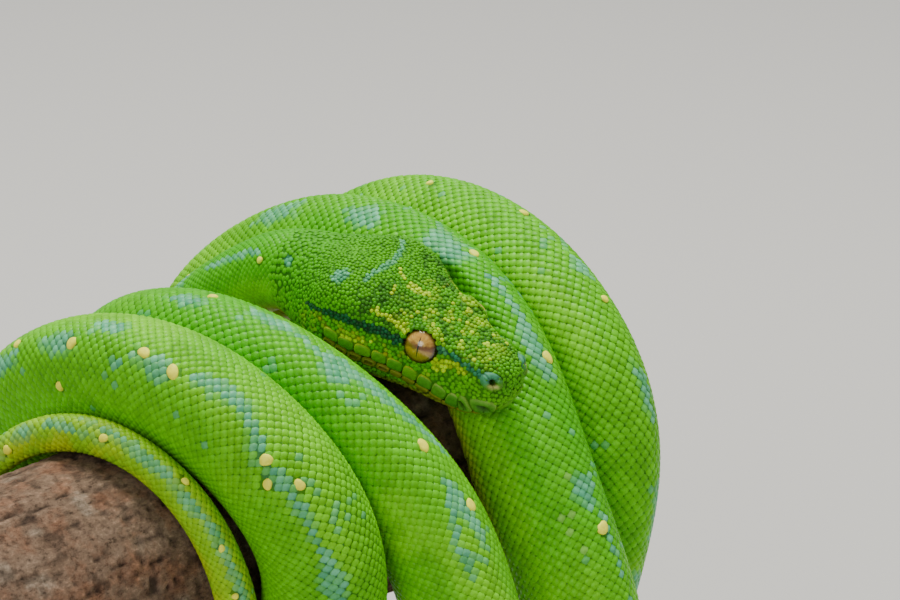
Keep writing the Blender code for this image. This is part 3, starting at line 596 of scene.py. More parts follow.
def paint(s, f, each=None, blues=True):
    """Colour of skin or scale at distance s and f degrees from the spine; each is a random number per scale.
    Also returns a second array that is all zeros, and None in its place without the blues."""
    s, f = np.asarray(s, float), np.asarray(f, float)
    if each is None:
        each = np.full(s.shape, 0.5)
    mm = girth(s)/360.0
    x = f*mm
    af = abs(f)
    big = noise(s/17.0, x/11.0, 3)
    mid = noise(s/4.2, x/3.6, 5)
    fine = noise(s/1.9, x/1.9, 7)
    c = GREEN + 0*s[..., None]

    def mix(c, colour, k):
        k = np.clip(np.asarray(k, float), 0, 1)[..., None]
        return c*(1 - k) + colour*k
    c = mix(c, LIGHT_GREEN, 0.45*fade(big, 0.45, 0.8))
    c = mix(c, DEEP_GREEN, 0.30*fade(mid, 0.55, 0.85))
    c = mix(c, LIGHT_GREEN, 0.55*fade(af, 62, 120)*(1 - fade(s, 30, 60)*0 ))
    # the back of the head, the neck and the coils next to it are a deeper green above
    deep = np.maximum(0.75*fade(s, 36, 50)*(1 - fade(s, 100, 130)), 0.60*fade(s, 215, 245)*(1 - fade(s, 335, 360)))
    deep = np.maximum(deep, 0.55*fade(s, 470, 490)*(1 - fade(s, 520, 545)))
    c = mix(c, srgb(58, 168, 0), deep*(1 - fade(af, 64, 104)))
    c = mix(c, BELLY_YELLOW, 0.75*fade(af, 118, 146)*fade(s, 20, 60))
    # tail: yellower, most of all below
    tail = fade(s, 1150, 1230)
    c = mix(c, TAIL_GREEN, 0.8*tail)
    c = mix(c, srgb(196, 208, 20), tail*(0.18 + 0.42*fade(af, 40, 100))*fade(mid, 0.25, 0.75))
    # head: small green scales with yellow speckle between the eyes and on the snout
    head = 1 - fade(s, 42, 64)
    c = mix(c, srgb(62, 146, 0), 0.62*head)
    c = mix(c, srgb(52, 114, 12), 0.35*head*fade(mid, 0.5, 0.8)*(1 - fade(af, 60, 90)))
    # lime mottling in soft clusters, with dark scales between them
    cluster = 0.65*noise(s/2.3, x/2.0, 21) + 0.35*noise(s/1.0, x/0.9, 22) + 0.16*(each - 0.5)
    zone = fade(s, 2, 7)*(1 - fade(s, 20, 29))*(1 - fade(af, 40, 60))
    c = mix(c, srgb(134, 180, 2), 0.60*zone*fade(cluster, 0.42, 0.64))
    c = mix(c, YELLOW, 0.75*zone*fade(s, 7, 12)*fade(cluster, 0.66, 0.78))
    c = mix(c, GOLD, 0.80*zone*fade(s, 5, 9)*(each > 0.86)*fade(cluster, 0.46, 0.56))
    c = mix(c, srgb(38, 84, 22), 0.62*zone*(1 - fade(cluster, 0.24, 0.42)))
    dusk = fade(s, 22, 25)*(1 - fade(s, 31, 37))*fade(af, 12, 26)*(1 - fade(af, 52, 62))
    c = mix(c, srgb(34, 76, 26), 0.62*dusk*fade(noise(s/1.9, x/1.5, 24) + 0.3*(each - 0.5), 0.34, 0.62))
    zone = fade(s, 12, 20)*(1 - fade(s, 38, 48))*fade(af, 66, 76)*(1 - fade(af, 98, 110))
    patchy = noise(s/1.7, x/1.3, 23) + 0.3*(each - 0.5)
    c = mix(c, srgb(168, 190, 6), 0.60*fade(patchy, 0.40, 0.62)*zone)
    c = mix(c, srgb(196, 150, 20), 0.40*fade(patchy, 0.72, 0.84)*zone)
    rough = 0.55 + 0.55*fine + 0.55*(each - 0.5)
    for pts, w0, w1 in YELLOW_STREAKS:
        for side in (1, -1):
            k = off_path(s, x*side, pts, mm) - taper(s, pts, w0, w1)*rough
            c = mix(c, GOLD*(0.70 + 0.3*each[..., None]), (0.9 if side > 0 else 0.2)*(k < 0)*head)
    for pts, w0, w1 in CROWN_YELLOW:
        k = off_path(s, x, pts, mm) - taper(s, pts, w0, w1)*rough
        c = mix(c, GOLD, 0.85*(k < 0)*head)
    for s0, f0, r in YELLOW_BLOTS:
        k = np.hypot(s - s0, x - f0*mm) - r*rough
        c = mix(c, GOLD*(0.75 + 0.25*each[..., None]), 0.8*(k < 0)*head)
    # the lower jaw and the throat are yellowish brown to cream
    c = mix(c, srgb(150, 138, 34), 0.8*(1 - fade(s, 30, 46))*fade(af, 112, 128)*fade(s, 1.5, 3.5))
    if not blues:
        return c, None
    # blue patches with ragged edges, a whole scale at a time
    ragged = 1.15*(noise(s/2.6, x/2.3, 9) - 0.5) + 0.5*(fine - 0.5) + 0.35*(each - 0.5)
    blue = np.zeros(s.shape)
    soft = np.where(s > 1190, 0.9, np.where(s < 62, 0.25, 0.42))
    for s0, f0, a, b in BLUE_PATCHES + MORE_PATCHES:
        near = abs(s - s0) < a*1.7
        if not near.any():
            continue
        r = np.sqrt(((s - s0)/(1.18*a))**2 + ((x - f0*mm)/(1.18*b))**2)
        blue = np.maximum(blue, near*np.clip(0.30 + (1 - r + 0.75*ragged)/soft, 0, 1))
    for pts, w0, w1 in BLUE_STREAKS:
        s0, s1 = min(p[0] for p in pts) - 5, max(p[0] for p in pts) + 5
        near = (s > s0) & (s < s1)
        if near.any():
            k = off_path(s, x, pts, mm)/taper(s, pts, w0, w1)
            blue = np.maximum(blue, near*np.clip(0.30 + (1 - k + 0.9*ragged*np.where(s < 62, 0.25, 1.0))/soft, 0, 1)*np.where(s < 62, 0.75, 1.0))
    # single bluish scales strewn near the spine
    blue = np.maximum(blue, 0.6*(noise(s/5.5, x/4.0, 31)*noise(s/1.3, x/1.2, 33) > 0.60 + 0.10*fade(af, 20, 50))*(s > 62)*(af < 70))
    # no scale is quite like the next, and on the tail the blue is thin
    blue = blue*(0.74 + 0.26*fade(each, 0.0, 0.6))*np.where(s > 1190, 0.86, 1.0)
    light = np.clip(0.25 + 0.8*fine + 0.4*(each - 0.5), 0, 1)[..., None]
    tone = BLUE*(1 - light) + PALE_BLUE*light
    c = c*(1 - blue[..., None]) + tone*blue[..., None]
    for pts, w0, w1 in TEAL_STREAKS:
        for side in (1, -1):
            k = off_path(s, x*side, pts, mm)
            k = k - taper(s, pts, w0, w1)*(0.70 + 0.45*fine + 0.35*(each - 0.5))
            rear = fade(s, 16, 22)[..., None]
            dark = (TEAL*(1 - 0.35*rear))*(0.55 + 1.1*each[..., None])
            lit = srgb(52, 132, 104)*(0.8 + 0.6*each[..., None])
            c = mix(c, dark*rear + (dark*0.45 + lit*0.55)*(1 - rear), 0.88*(k < 0))
    # the cream spots are scales of their own
    spot = np.zeros(s.shape)
    # a few whitish flecked scales
    fleck = (abs(s - 340) < 11)*(abs(f + 45) < 14)*(noise(s/1.4, x/1.4, 41) > 0.70)
    c = mix(c, srgb(150, 200, 96), 0.5*fleck)
    return c, spot


# ---------------------------------------------------------------------------------------------- meshes
def mesh_object(name, co, loops, totals, mat, colour=None, uv=None, sharp=None, face_mat=None):
    """co in mm about the branch's axis; loops and totals give the faces."""
    me = bpy.data.meshes.new(name)
    co = world(co)
    me.vertices.add(len(co))
    me.vertices.foreach_set('co', np.ascontiguousarray(co, np.float32).ravel())
    me.loops.add(len(loops))
    me.loops.foreach_set('vertex_index', np.ascontiguousarray(loops, np.int32))
    me.polygons.add(len(totals))
    starts = np.r_[0, np.cumsum(totals)[:-1]]
    me.polygons.foreach_set('loop_start', np.ascontiguousarray(starts, np.int32))
    me.update(calc_edges=True)
    mats = mat if isinstance(mat, list) else [mat]
    for m in mats:
        me.materials.append(m)
    if face_mat is not None:
        me.polygons.foreach_set('material_index', np.ascontiguousarray(face_mat, np.int32))
    me.shade_smooth()
    if sharp:
        me.set_sharp_from_angle(angle=radians(sharp))
    if colour is not None:
        at = me.color_attributes.new('tone', 'FLOAT_COLOR', 'POINT')
        rgba = np.ones((len(co), 4), np.float32)
        rgba[:, :3] = colour
        at.data.foreach_set('color', rgba.ravel())
    if uv is not None:
        layer = me.uv_layers.new(name='OFBake')
        layer.uv.foreach_set('vector', np.ascontiguousarray(uv[loops], np.float32).ravel())
    ob = bpy.data.objects.new(name, me)
    bpy.context.collection.objects.link(ob)
    return ob


def grid_faces(n, m, wrap=True):
    """Quads of n rings of m points."""
    i = np.arange(n - 1)[:, None]
    j = np.arange(m if wrap else m - 1)[None]
    k = (j + 1) % m
    q = np.stack([i*m + j, i*m + k, (i+1)*m + k, (i+1)*m + j], -1).reshape(-1, 4)
    return q


class Template:
    """A closed plate: an outline, raised rings inside it and a middle point. outline is (along, across) in units of the
    plate's size; rings are (size against the outline, heights, tone); tones are painted light and shade on the corners."""

    def __init__(self, outline, rim, rings_, top, rim_tone=None, top_tone=1.0, shift=(0.0, 0.0)):
        o = np.array(outline, float)
        m = len(o)
        full = lambda x: np.full(m, float(x)) if np.isscalar(x) else np.array(x, float)
        c = o.mean(0)
        pts = [np.c_[o, full(rim)]]
        tone = [full(1.0 if rim_tone is None else rim_tone)]
        for k, (size, h, t) in enumerate(rings_):
            at = c + np.array(shift)*(1 - size)
            pts.append(np.c_[at + (o - c)*size, full(h)])
            tone.append(full(t))
        pts.append(np.array([[c[0] + shift[0], c[1] + shift[1], top]]))
        tone.append(np.array([top_tone]))
        self.pts = np.vstack(pts)
        self.tone = np.concatenate(tone)
        faces = []
        for r in range(len(rings_)):
            a, b = r*m, (r + 1)*m
            faces += [(a + j, a + (j+1) % m, b + (j+1) % m, b + j) for j in range(m)]
        a = len(rings_)*m
        faces += [(a + j, a + (j+1) % m, a + m) for j in range(m)]
        faces += [tuple(range(m))[::-1]]
        self.faces = faces
        self.flat = np.concatenate([np.array(f) for f in faces])
        self.totals = np.array([len(f) for f in faces])
        self.span = np.ptp(self.pts[:, :2], axis=0)

    def lay(self, name, P, colour, mat, uv, sharp=70, patch=0.003, rim=None):
        """P is plates by corners; colour one for each plate, and rim the colour its edge runs into; uv the root's place."""
        n, m = P.shape[:2]
        off = (np.arange(n)*m)[:, None]
        loops = (self.flat[None] + off).ravel()
        totals = np.tile(self.totals, n)
        if colour.ndim == 2:
            every = np.repeat(colour[:, None], m, 1)
            if rim is not None:
                k = (self.faces[-1][0] + 1)
                every[:, :k] = 0.55*every[:, :k] + 0.45*rim[:, None]
            # the template's tones are painted light and shade on each plate
            colour = every*self.tone[None, :, None]
        at = uv[:, None] + self.pts[None, :, :2]/self.span*patch
        return mesh_object(name, P.reshape(-1, 3), loops, totals, mat, np.clip(colour.reshape(-1, 3), 0, 1), at.reshape(-1, 2), sharp)


def strew(name, s, v, along, across, tall, turn, template, colour, mat, uv_range, sharp=70, rim=None):
    """Many plates of one template laid on the skin. along and across are in mm at each root."""
    pts = template.pts
    a = pts[None, :, 0]*along[:, None]
    b = pts[None, :, 1]*across[:, None]
    ca, sa = np.cos(turn)[:, None], np.sin(turn)[:, None]
    da, db = a*ca - b*sa, a*sa + b*ca
    rate = np.maximum(lookup(RATE, s, v), 0.25)
    S = s[:, None] + da/rate[:, None]
    V = v[:, None] + db/girth(s)[:, None]
    h = pts[None, :, 2]*tall[:, None] - COAT
    Q = lookup(GQ, S, V) + lookup(GN, S, V)*h[..., None]
    s0, s1 = uv_range
    uv = np.stack([0.01 + 0.98*(s - s0)/(s1 - s0), 0.01 + 0.98*((v + 0.5) % 1.0)], -1)
    return template.lay(name, Q, colour, mat, uv, sharp, 0.003, rim)


def set_down(name, P, N, A, along, across, tall, base, template, colour, mat, uv, sharp=70):
    """Small plates, each flat on the tangent plane at its own root, with its first axis along A."""
    pts = template.pts
    B = np.cross(N, A)
    X = (P[:, None] + A[:, None]*(pts[None, :, 0]*along[:, None])[..., None] + B[:, None]*(pts[None, :, 1]*across[:, None])[..., None]
         + N[:, None]*(pts[None, :, 2]*tall[:, None] - base)[..., None])
    return template.lay(name, X, colour, mat, uv, sharp)


# ---------------------------------------------------------------------------------------------- materials
def new_material(name, roughness=0.5, specular=0.5, coat=0.0, coat_roughness=0.05, metallic=0.0):
    m = bpy.data.materials.new(name)
    m.use_nodes = True
    b = m.node_tree.nodes['Principled BSDF']
    b.inputs['Roughness'].default_value = roughness
    b.inputs['Specular IOR Level'].default_value = specular
    b.inputs['Coat Weight'].default_value = coat
    b.inputs['Coat Roughness'].default_value = coat_roughness
    b.inputs['Metallic'].default_value = metallic
    return m, m.node_tree.nodes, m.node_tree.links, b


def node(nodes, kind, **values):
    n = nodes.new(kind)
    for k, v in values.items():
        if k in n.inputs:
            n.inputs[k].default_value = v
        else:
            setattr(n, k, v)
    return n


def ramp(nodes, stops):
    n = nodes.new('ShaderNodeValToRGB')
    e = n.color_ramp.elements
    while len(e) > 1:
        e.remove(e[-1])
    e[0].position, e[0].color = stops[0][0], (*stops[0][1], 1)
    for p, c in stops[1:]:
        q = e.new(p)
        q.color = (*c, 1)
    return n


def scale_material(name, roughness, specular, bump, noise_scale, coat=0.0):
    m, nodes, links, b = new_material(name, roughness, specular, coat, 0.25)
    tone = node(nodes, 'ShaderNodeVertexColor', layer_name='tone')
    place = nodes.new('ShaderNodeTexCoord')
    grain = node(nodes, 'ShaderNodeTexNoise', Scale=noise_scale, Detail=3.0)
    links.new(place.outputs['Object'], grain.inputs['Vector'])
    level = node(nodes, 'ShaderNodeMapRange')
    level.inputs['From Min'].default_value = 0.3
    level.inputs['From Max'].default_value = 0.7
    level.inputs['To Min'].default_value = 0.84
    level.inputs['To Max'].default_value = 1.14
    links.new(grain.outputs['Fac'], level.inputs['Value'])
    mixer = node(nodes, 'ShaderNodeVectorMath', operation='SCALE')
    links.new(tone.outputs['Color'], mixer.inputs[0])
    links.new(level.outputs['Result'], mixer.inputs['Scale'])
    links.new(mixer.outputs['Vector'], b.inputs['Base Color'])
    fine = node(nodes, 'ShaderNodeTexNoise', Scale=noise_scale*3.0, Detail=2.0)
    links.new(place.outputs['Object'], fine.inputs['Vector'])
    bumper = node(nodes, 'ShaderNodeBump', Strength=bump, Distance=0.0002)
    links.new(fine.outputs['Fac'], bumper.inputs['Height'])
    links.new(bumper.outputs['Normal'], b.inputs['Normal'])
    return m


SCALES = scale_material('snake_scales', 0.40, 0.17, 0.2, 900.0)
SKIN = scale_material('snake_skin_between', 0.62, 0.22, 0.4, 1500.0)
GRAINS = scale_material('snake_head_scales', 0.46, 0.13, 0.2, 1300.0)


# ---------------------------------------------------------------------------------------------- skin
def build_skin():
    """One unbroken skin from the snout to the tail's tip, under the scales."""
    pick = np.r_[np.arange(0, NH, 1), np.searchsorted(GS, np.arange(60.2, END - 3, 2.3)), np.searchsorted(GS, [END - 2, END - 1])]
    pick = np.unique(np.clip(pick, 0, len(GS) - 1))
    m = 100
    v = np.arange(m)/m
    S, V = np.meshgrid(GS[pick], v, indexing='ij')
    P = lookup(GQ, S, V) - lookup(GN, S, V)*(0.9*COAT + 0.02)
    n = len(pick)
    co = P.reshape(-1, 3)
    ends = np.array([P[0].mean(0), P[-1].mean(0) + (P[-1].mean(0) - P[-2].mean(0))*0.3])
    q = grid_faces(n, m)
    j = np.arange(m)
    first = np.stack([j, (j + 1) % m, np.full(m, n*m)], -1)
    last = np.stack([(n-1)*m + j, (n-1)*m + (j + 1) % m, np.full(m, n*m + 1)], -1)
    faces = [q, first[:, ::-1], last]
    loops = np.concatenate([f.ravel() for f in faces])
    totals = np.concatenate([np.full(len(f), f.shape[1]) for f in faces])
    f = signed(lookup(GA, S, V))
    c, spot = paint(S, f)
    # painted shade: the skin between the scales is painted a good deal darker than the scales over it, as the shade in
    # the gaps between them, darkest on the head
    dark = np.array([0.34, 0.42, 0.36])
    pale = np.array([0.42, 0.50, 0.40])
    k = (1 - fade(S, 48, 62))[..., None]
    c = c*(dark*(1 - k) + pale*k)
    # painted shade: the skin in the gap round each eyeball, in the nostrils and along the mouth line is painted dark,
    # as the shade in these hollows
    for side in (1, -1):
        rho, out = eye_distance(P, side)
        k = ((rho < EYE_RIM - 0.02) & (out > 0))[..., None]
        c = np.where(k, np.array([0.016, 0.014, 0.006]), c)
        rho = np.linalg.norm(P - NOSTRILS[side], axis=-1)[..., None]
        c = np.where(rho < 1.1, srgb(78, 44, 34), c)
    p, t, up, left = strand.frame(GS[pick])
    low = ((P - p[:, None])*up[:, None]).sum(-1) - mouth_height(GS[pick])[:, None]
    on = (S > 2.6)*(S < 38)
    c = np.where(((abs(low) < 0.55)*on)[..., None] > 0, np.array([0.02, 0.022, 0.008]), c)
    col = np.concatenate([c.reshape(-1, 3), c[0].mean(0)[None], c[-1].mean(0)[None]])
    uv = np.stack([0.01 + 0.98*S/END, 0.01 + 0.98*((V + 0.5) % 1.0)], -1).reshape(-1, 2)
    uv = np.vstack([uv, [[0.005, 0.5], [0.995, 0.5]]])
    ob = mesh_object('skin', np.vstack([co, ends]), loops, totals, SKIN, col, uv)
    return ob


PIECES = []
skin = build_skin()
FLESH = [n for n in frame['nodes'] if n in ('head', 'jaw', 'neck') or n.startswith('trunk_') or n.startswith('tail_')]

# ---------------------------------------------------------------------------------------------- body scales
# the tones are painted shade and light: each scale is painted darker along its front edge, tucked under the scales
# ahead, and lighter over its raised free edge and crown
BODY_PLATE = Template(
    [(-0.60, 0.0), (-0.38, 0.64), (0.02, 0.97), (0.41, 0.68), (0.67, 0.0), (0.41, -0.68), (0.02, -0.97), (-0.38, -0.64)],
    [-0.80, -0.55, -0.10, 0.24, 0.46, 0.24, -0.10, -0.55],
    [(0.75, [-0.20, 0.08, 0.66, 0.95, 1.0, 0.95, 0.66, 0.08], [0.93, 0.96, 1.01, 1.05, 1.06, 1.05, 1.01, 0.96])],
    0.82, [0.70, 0.71, 0.79, 0.92, 1.02, 0.92, 0.79, 0.71], 1.05)
LUMPY = [0.5*(1 + 0.07*cos(4*pi*i/16 + 1.0) + 0.06*cos(6*pi*i/16 + 2.2)) for i in range(16)]
# painted shade: the pad of each cream spot is painted darker round its foot
SPOT_PAD = Template([(r*cos(2*pi*i/16), r*sin(2*pi*i/16)) for i, r in enumerate(LUMPY)], -0.1,
                    [(0.92, 0.50, 0.96), (0.70, 0.85, 1.0), (0.38, 0.98, 1.03)], 1.02, 0.80, 1.03)


def rows_at(s):
    t = np.array(ROWS, float)
    return t[np.clip(np.searchsorted(t[:, 0], s, side='right') - 1, 0, len(t) - 1), 1]


def body_scales():
    rng = np.random.default_rng(5)
    S, V, W, L = [], [], [], []
    reach_side = 0.5 - BELLY_SHARE/2
    s = FIRST_SCALE
    while s < END - 2.5:
        K = int(rows_at(s))
        k = np.arange(-K, K + 1)
        pitch = reach_side/(K + 0.5)
        step = float(np.interp(s, *np.array(SCALE_LENGTH).T))
        S.append(s + 0.5*step*(np.abs(k) % 2))
        V.append(k*pitch)
        W.append(np.full(len(k), pitch))
        L.append(np.full(len(k), step))
        s += step
    S, V, W, L = map(np.concatenate, (S, V, W, L))
    keep = S < END - 2.0
    # room for the pads of the cream spots
    mm = girth(S)/360.0
    F = signed(lookup(GA, S, V))
    for s0, f0, r in SPOTS + MORE_SPOTS:
        near = abs(S - s0) < 4
        keep &= ~(near & (np.hypot(S - s0 + 0.15, (F - f0)*mm) < 0.80*r + 0.10))
    S, V, W, L = S[keep], V[keep], W[keep], L[keep]
    n = len(S)
    S = S + rng.normal(0, 0.05, n)
    across = W*girth(S)
    V = V + rng.normal(0, 0.03, n)*W
    each = rng.random(n)
    f = signed(lookup(GA, S, V))
    col, spot = paint(S, f, each)
    plain = paint(S, f, each, False)[0]
    vary = (0.89 + 0.22*rng.random(n))[:, None]
    col, edge = col*vary, plain*vary
    tall = 0.33*np.clip(across/1.18, 0.55, 1.1)*(0.92 + 0.16*rng.random(n))
    turn = rng.normal(0, 0.04, n)
    order = np.argsort(S, kind='stable')
    for i, a in enumerate(range(0, n, SCALES_PER_PIECE)):
        q = order[a:a + SCALES_PER_PIECE]
        ob = strew('scales_%d' % (i + 1), S[q], V[q] % 1.0, L[q], across[q], tall[q], turn[q], BODY_PLATE, col[q],
                   SCALES, (S[q].min() - 1, S[q].max() + 1), 70, edge[q])
        PIECES.append(ob)
    # cream spots: one large rounded scale each
    T = np.array([t for t in SPOTS + MORE_SPOTS if t[0] > FIRST_SCALE])
    s0 = T[:, 0]
    # the share of the way round at the wanted angle
    v0 = np.array([np.interp(f % 360, lookup(GA, np.full(AROUND, a), np.arange(AROUND)/AROUND), np.arange(AROUND)/AROUND) for a, f in T[:, :2]])
    size = 1.8*T[:, 2]*np.clip(girth(s0)/60, 0.75, 1.0)
    each = rng.random(len(T))[:, None]
    col = CREAM*(1 - 0.25*each) + srgb(240, 222, 60)*0.25*each
    PIECES.append(strew('spot_scales', s0, v0, size*(1.0 + 0.2*rng.random(len(T))), size*(0.88 + 0.2*rng.random(len(T))),
                        np.full(len(T), 0.54), rng.random(len(T))*6.28, SPOT_PAD, col, SCALES, (FIRST_SCALE, END)))
    return n


# ---------------------------------------------------------------------------------------------- belly plates
def belly_plates():
    co, loops, totals, cols, uvs = [], [], [], [], []
    s, base = 64.0, 0
    m = 13
    x = np.linspace(-1, 1, m)
    while s < END - 4:
        step = np.interp(s, [60, 160, 1080, 1150, 1260, 1340], [3.4, 4.9, 4.9, 3.6, 2.4, 1.8])
        w = (BELLY_SHARE/2)*1.06
        # a strip of four lines: front edge, rise, free edge, and its underside
        a = np.array([-0.25, 0.35, 0.98, 1.10, 0.95])*step
        h = np.array([-0.12, 0.12, 0.24, 0.10, -0.02])
        A = a[:, None] - 0.10*step*(x[None]**2)*0
        V = 0.5 + w*x[None] + 0*A
        H = h[:, None]*(1 - 0.6*abs(x[None])**6) - COAT
        S = s + A + 0*V
        P = lookup(GQ, S, V) + lookup(GN, S, V)*H[..., None]
        k = len(a)
        q = grid_faces(k, m, wrap=False)
        # close it: the underside joins the last line to the first, and both sides get a cap
        under = np.stack([(k-1)*m + np.arange(m-1), (k-1)*m + np.arange(1, m), np.arange(1, m), np.arange(m-1)], -1)
        side0 = np.array([[i*m for i in range(k)]])
        side1 = np.array([[i*m + m - 1 for i in range(k)][::-1]])
        for f in (q, under, side0, side1):
            loops.append((f + base).ravel())
            totals.append(np.full(len(f), f.shape[1]))
        c, _ = paint(S, signed(V*360))
        # painted shade and light: each plate is painted darker at its front edge, under the plate ahead, and lighter on
        # its free edge
        shade = np.interp(a/step, [-0.3, 0.4, 1.0, 1.2], [0.75, 1.0, 1.12, 0.9])[:, None, None]
        cols.append((c*shade).reshape(-1, 3))
        co.append(P.reshape(-1, 3))
        uvs.append(np.stack([0.01 + 0.98*(s + 0.3*A)/END + 0*V, 0.01 + 0.98*(V - 0.5 + 0.12)/0.24], -1).reshape(-1, 2))
        base += k*m
        s += step
    ob = mesh_object('belly_plates', np.vstack(co), np.concatenate(loops), np.concatenate(totals), SCALES,
                     np.clip(np.vstack(cols), 0, 1), np.vstack(uvs), 60)
    PIECES.append(ob)


# ---------------------------------------------------------------------------------------------- head
def head_points():
    """Fine points of the head's surface with their place in (distance, share)."""
    S, V = np.meshgrid(GS[:NH + 20], np.arange(0, AROUND)/AROUND, indexing='ij')
    return S.ravel(), V.ravel()


HEAD_S, HEAD_V = head_points()
HEAD_P = lookup(GQ, HEAD_S, HEAD_V)
TREE = KDTree(len(HEAD_P))
for i, p in enumerate(HEAD_P):
    TREE.insert(p, i)
TREE.balance()


def mouth_curve(side):
    """Share of the way round at which the lips meet, by distance behind the snout."""
    s = np.linspace(2.9, 38.0, 240)
    v = np.linspace(0.12, 0.5, 400)
    out = []
    p, t, up, left = strand.frame(s)
    for i, a in enumerate(s):
        vv = v if side > 0 else 1 - v
        h = (lookup(GQ, np.full(len(v), a), vv) - p[i]) @ up[i]
        d = h - mouth_height(a)
        k = np.where(d <= 0)[0]
        out.append(vv[k[0]] if len(k) else vv[-1])
    return s, np.array(out)


def oval(n, power=2.0, tip=0.0):
    t = np.arange(n)*2*pi/n + pi/n
    x = 0.5*np.sign(np.cos(t))*abs(np.cos(t))**(2/power)
    y = 0.5*np.sign(np.sin(t))*abs(np.sin(t))**(2/power)
    return list(zip(x, y + tip*(0.25 - x*x)))


# the tones are painted shade and light: most plates and small scales are painted darker round their foot and lighter on
# their raised parts; in the heat pits' plates the slit is painted nearly black, as the shade in it
PLATE = Template(oval(14, 3.2), 0.0, [(0.90, 0.62, 0.95), (0.66, 0.95, 1.0)], 1.0, 1.0, 1.0)
LIP = Template(oval(20, 3.4), -0.1, [(0.95, 0.50, 1.16), (0.82, 0.84, 1.07), (0.50, 1.0, 0.97)], 1.02, 0.72, 0.95)
PIT_LIP = Template(oval(20, 3.6), -0.1, [(0.95, 0.52, 1.10), (0.82, 0.94, 1.04), (0.56, 1.05, 1.0), (0.42, 0.62, 0.70), (0.26, -1.1, 0.10)], -1.5, 0.76, 0.06)
BEAD = Template([(0.5*cos(2*pi*i/7), 0.5*sin(2*pi*i/7)) for i in range(7)], -0.10, [(0.72, 0.78, 1.0)], 1.0, 0.78, 1.04)


def to_surface(X):
    """The nearest place of the head's surface: point, outward normal, distance behind the snout and share of the way round."""
    _, k, _ = TREE.find(X)
    n = HEAD_N[k]
    return X - n*((X - HEAD_P[k]) @ n), n, HEAD_S[k], HEAD_V[k]


def placed(name, P0, N0, A0, size_a, size_b, tall, template, colour, mat, uvs, base=0.22):
    """Plates set by their own frame: root point, outward normal and the direction of their first axis; their corners
    are dropped onto the head's surface."""
    pts = template.pts
    n, m = len(P0), len(pts)
    B0 = np.cross(N0, A0)
    X = P0[:, None] + A0[:, None]*(pts[None, :, 0]*size_a[:, None])[..., None] + B0[:, None]*(pts[None, :, 1]*size_b[:, None])[..., None]
    h = pts[None, :, 2]*tall[:, None] - base
    out = np.zeros_like(X)
    for i in range(n):
        for j in range(m):
            p, nn, _, _ = to_surface(X[i, j])
            out[i, j] = p + nn*h[i, j]
    return template.lay(name, out, colour, mat, uvs, 60)


def lip_chart(side, above, reach):
    """Places of the surface by distance along the lips (first) and up or down from them (second)."""
    s, v = mouth_curve(side)
    Q = lookup(GQ, s, v)
    d = np.r_[0, np.cumsum(np.linalg.norm(np.diff(Q, axis=0), axis=1))]
    D = np.arange(0.0, d[-1], 0.35)
    T = np.arange(0.0, reach + 0.4, 0.3)
    C = np.stack([np.interp(D, d, Q[:, k]) for k in range(3)], -1)
    A = unit(np.gradient(C, axis=0))
    A[1:-1] = unit(A[:-2] + A[1:-1]*2 + A[2:])
    _, _, up, _ = strand.frame(np.interp(D, d, s))
    P = np.zeros((len(D), len(T), 3))
    N = np.zeros_like(P)
    UV = np.zeros((len(D), len(T), 2))
    for i in range(len(D)):
        x, n, ss, vv = to_surface(C[i])
        way = np.cross(n, A[i])
        if way @ up[i] < 0:
            way = -way
        if above < 0:
            way = -way
        for j in range(len(T)):
            way = unit(way - n*(way @ n))
            P[i, j], N[i, j], UV[i, j] = x, n, (ss, vv)
            x, n, ss, vv = to_surface(x + way*0.3)
    # even out the small jumps of the nearest places
    for _ in range(2):
        for G in (P, N):
            G[:, 1:-1] = 0.25*G[:, :-2] + 0.5*G[:, 1:-1] + 0.25*G[:, 2:]
            G[1:-1] = 0.25*G[:-2] + 0.5*G[1:-1] + 0.25*G[2:]
    return D, T, P, unit(N), UV


def on_chart(chart, d, t):
    D, T, P, N, UV = chart
    i = np.clip((d/0.35), 0, len(D) - 1.001)
    j = np.clip((t/0.3), 0, len(T) - 1.001)
    a, b = i.astype(int), j.astype(int)
    u, w = (i - a)[..., None], (j - b)[..., None]
    out = []
    for G in (P, N):
        out.append((G[a, b]*(1-u) + G[a+1, b]*u)*(1-w) + (G[a, b+1]*(1-u) + G[a+1, b+1]*u)*w)
    return out[0], unit(out[1]), UV[a, b]


HEAD_N = lookup(GN, HEAD_S, HEAD_V)
blocked = np.zeros(len(HEAD_P), bool)     # places kept free of the small scales


def keep_free(p, r):
    for _, k, _ in TREE.find_range(p, r):
        blocked[k] = True


def root_uv(s, v):
    return np.stack([0.02 + 0.96*np.asarray(s)/64.0, 0.02 + 0.96*((np.asarray(v) + 0.5) % 1.0)], -1)


# heights of the lip plates by distance along the lips
UPPER_HEIGHT = [(0, 5.0), (4, 5.3), (8, 4.9), (12, 4.0), (17, 3.2), (24, 2.8), (44, 2.3)]
LOWER_HEIGHT = [(0, 1.9), (6, 1.9), (14, 1.8), (44, 1.9)]


PITS = []        # middle, outward normal and half sizes of each heat pit
CLEAR = []       # places where no small scale stands, with the room round them


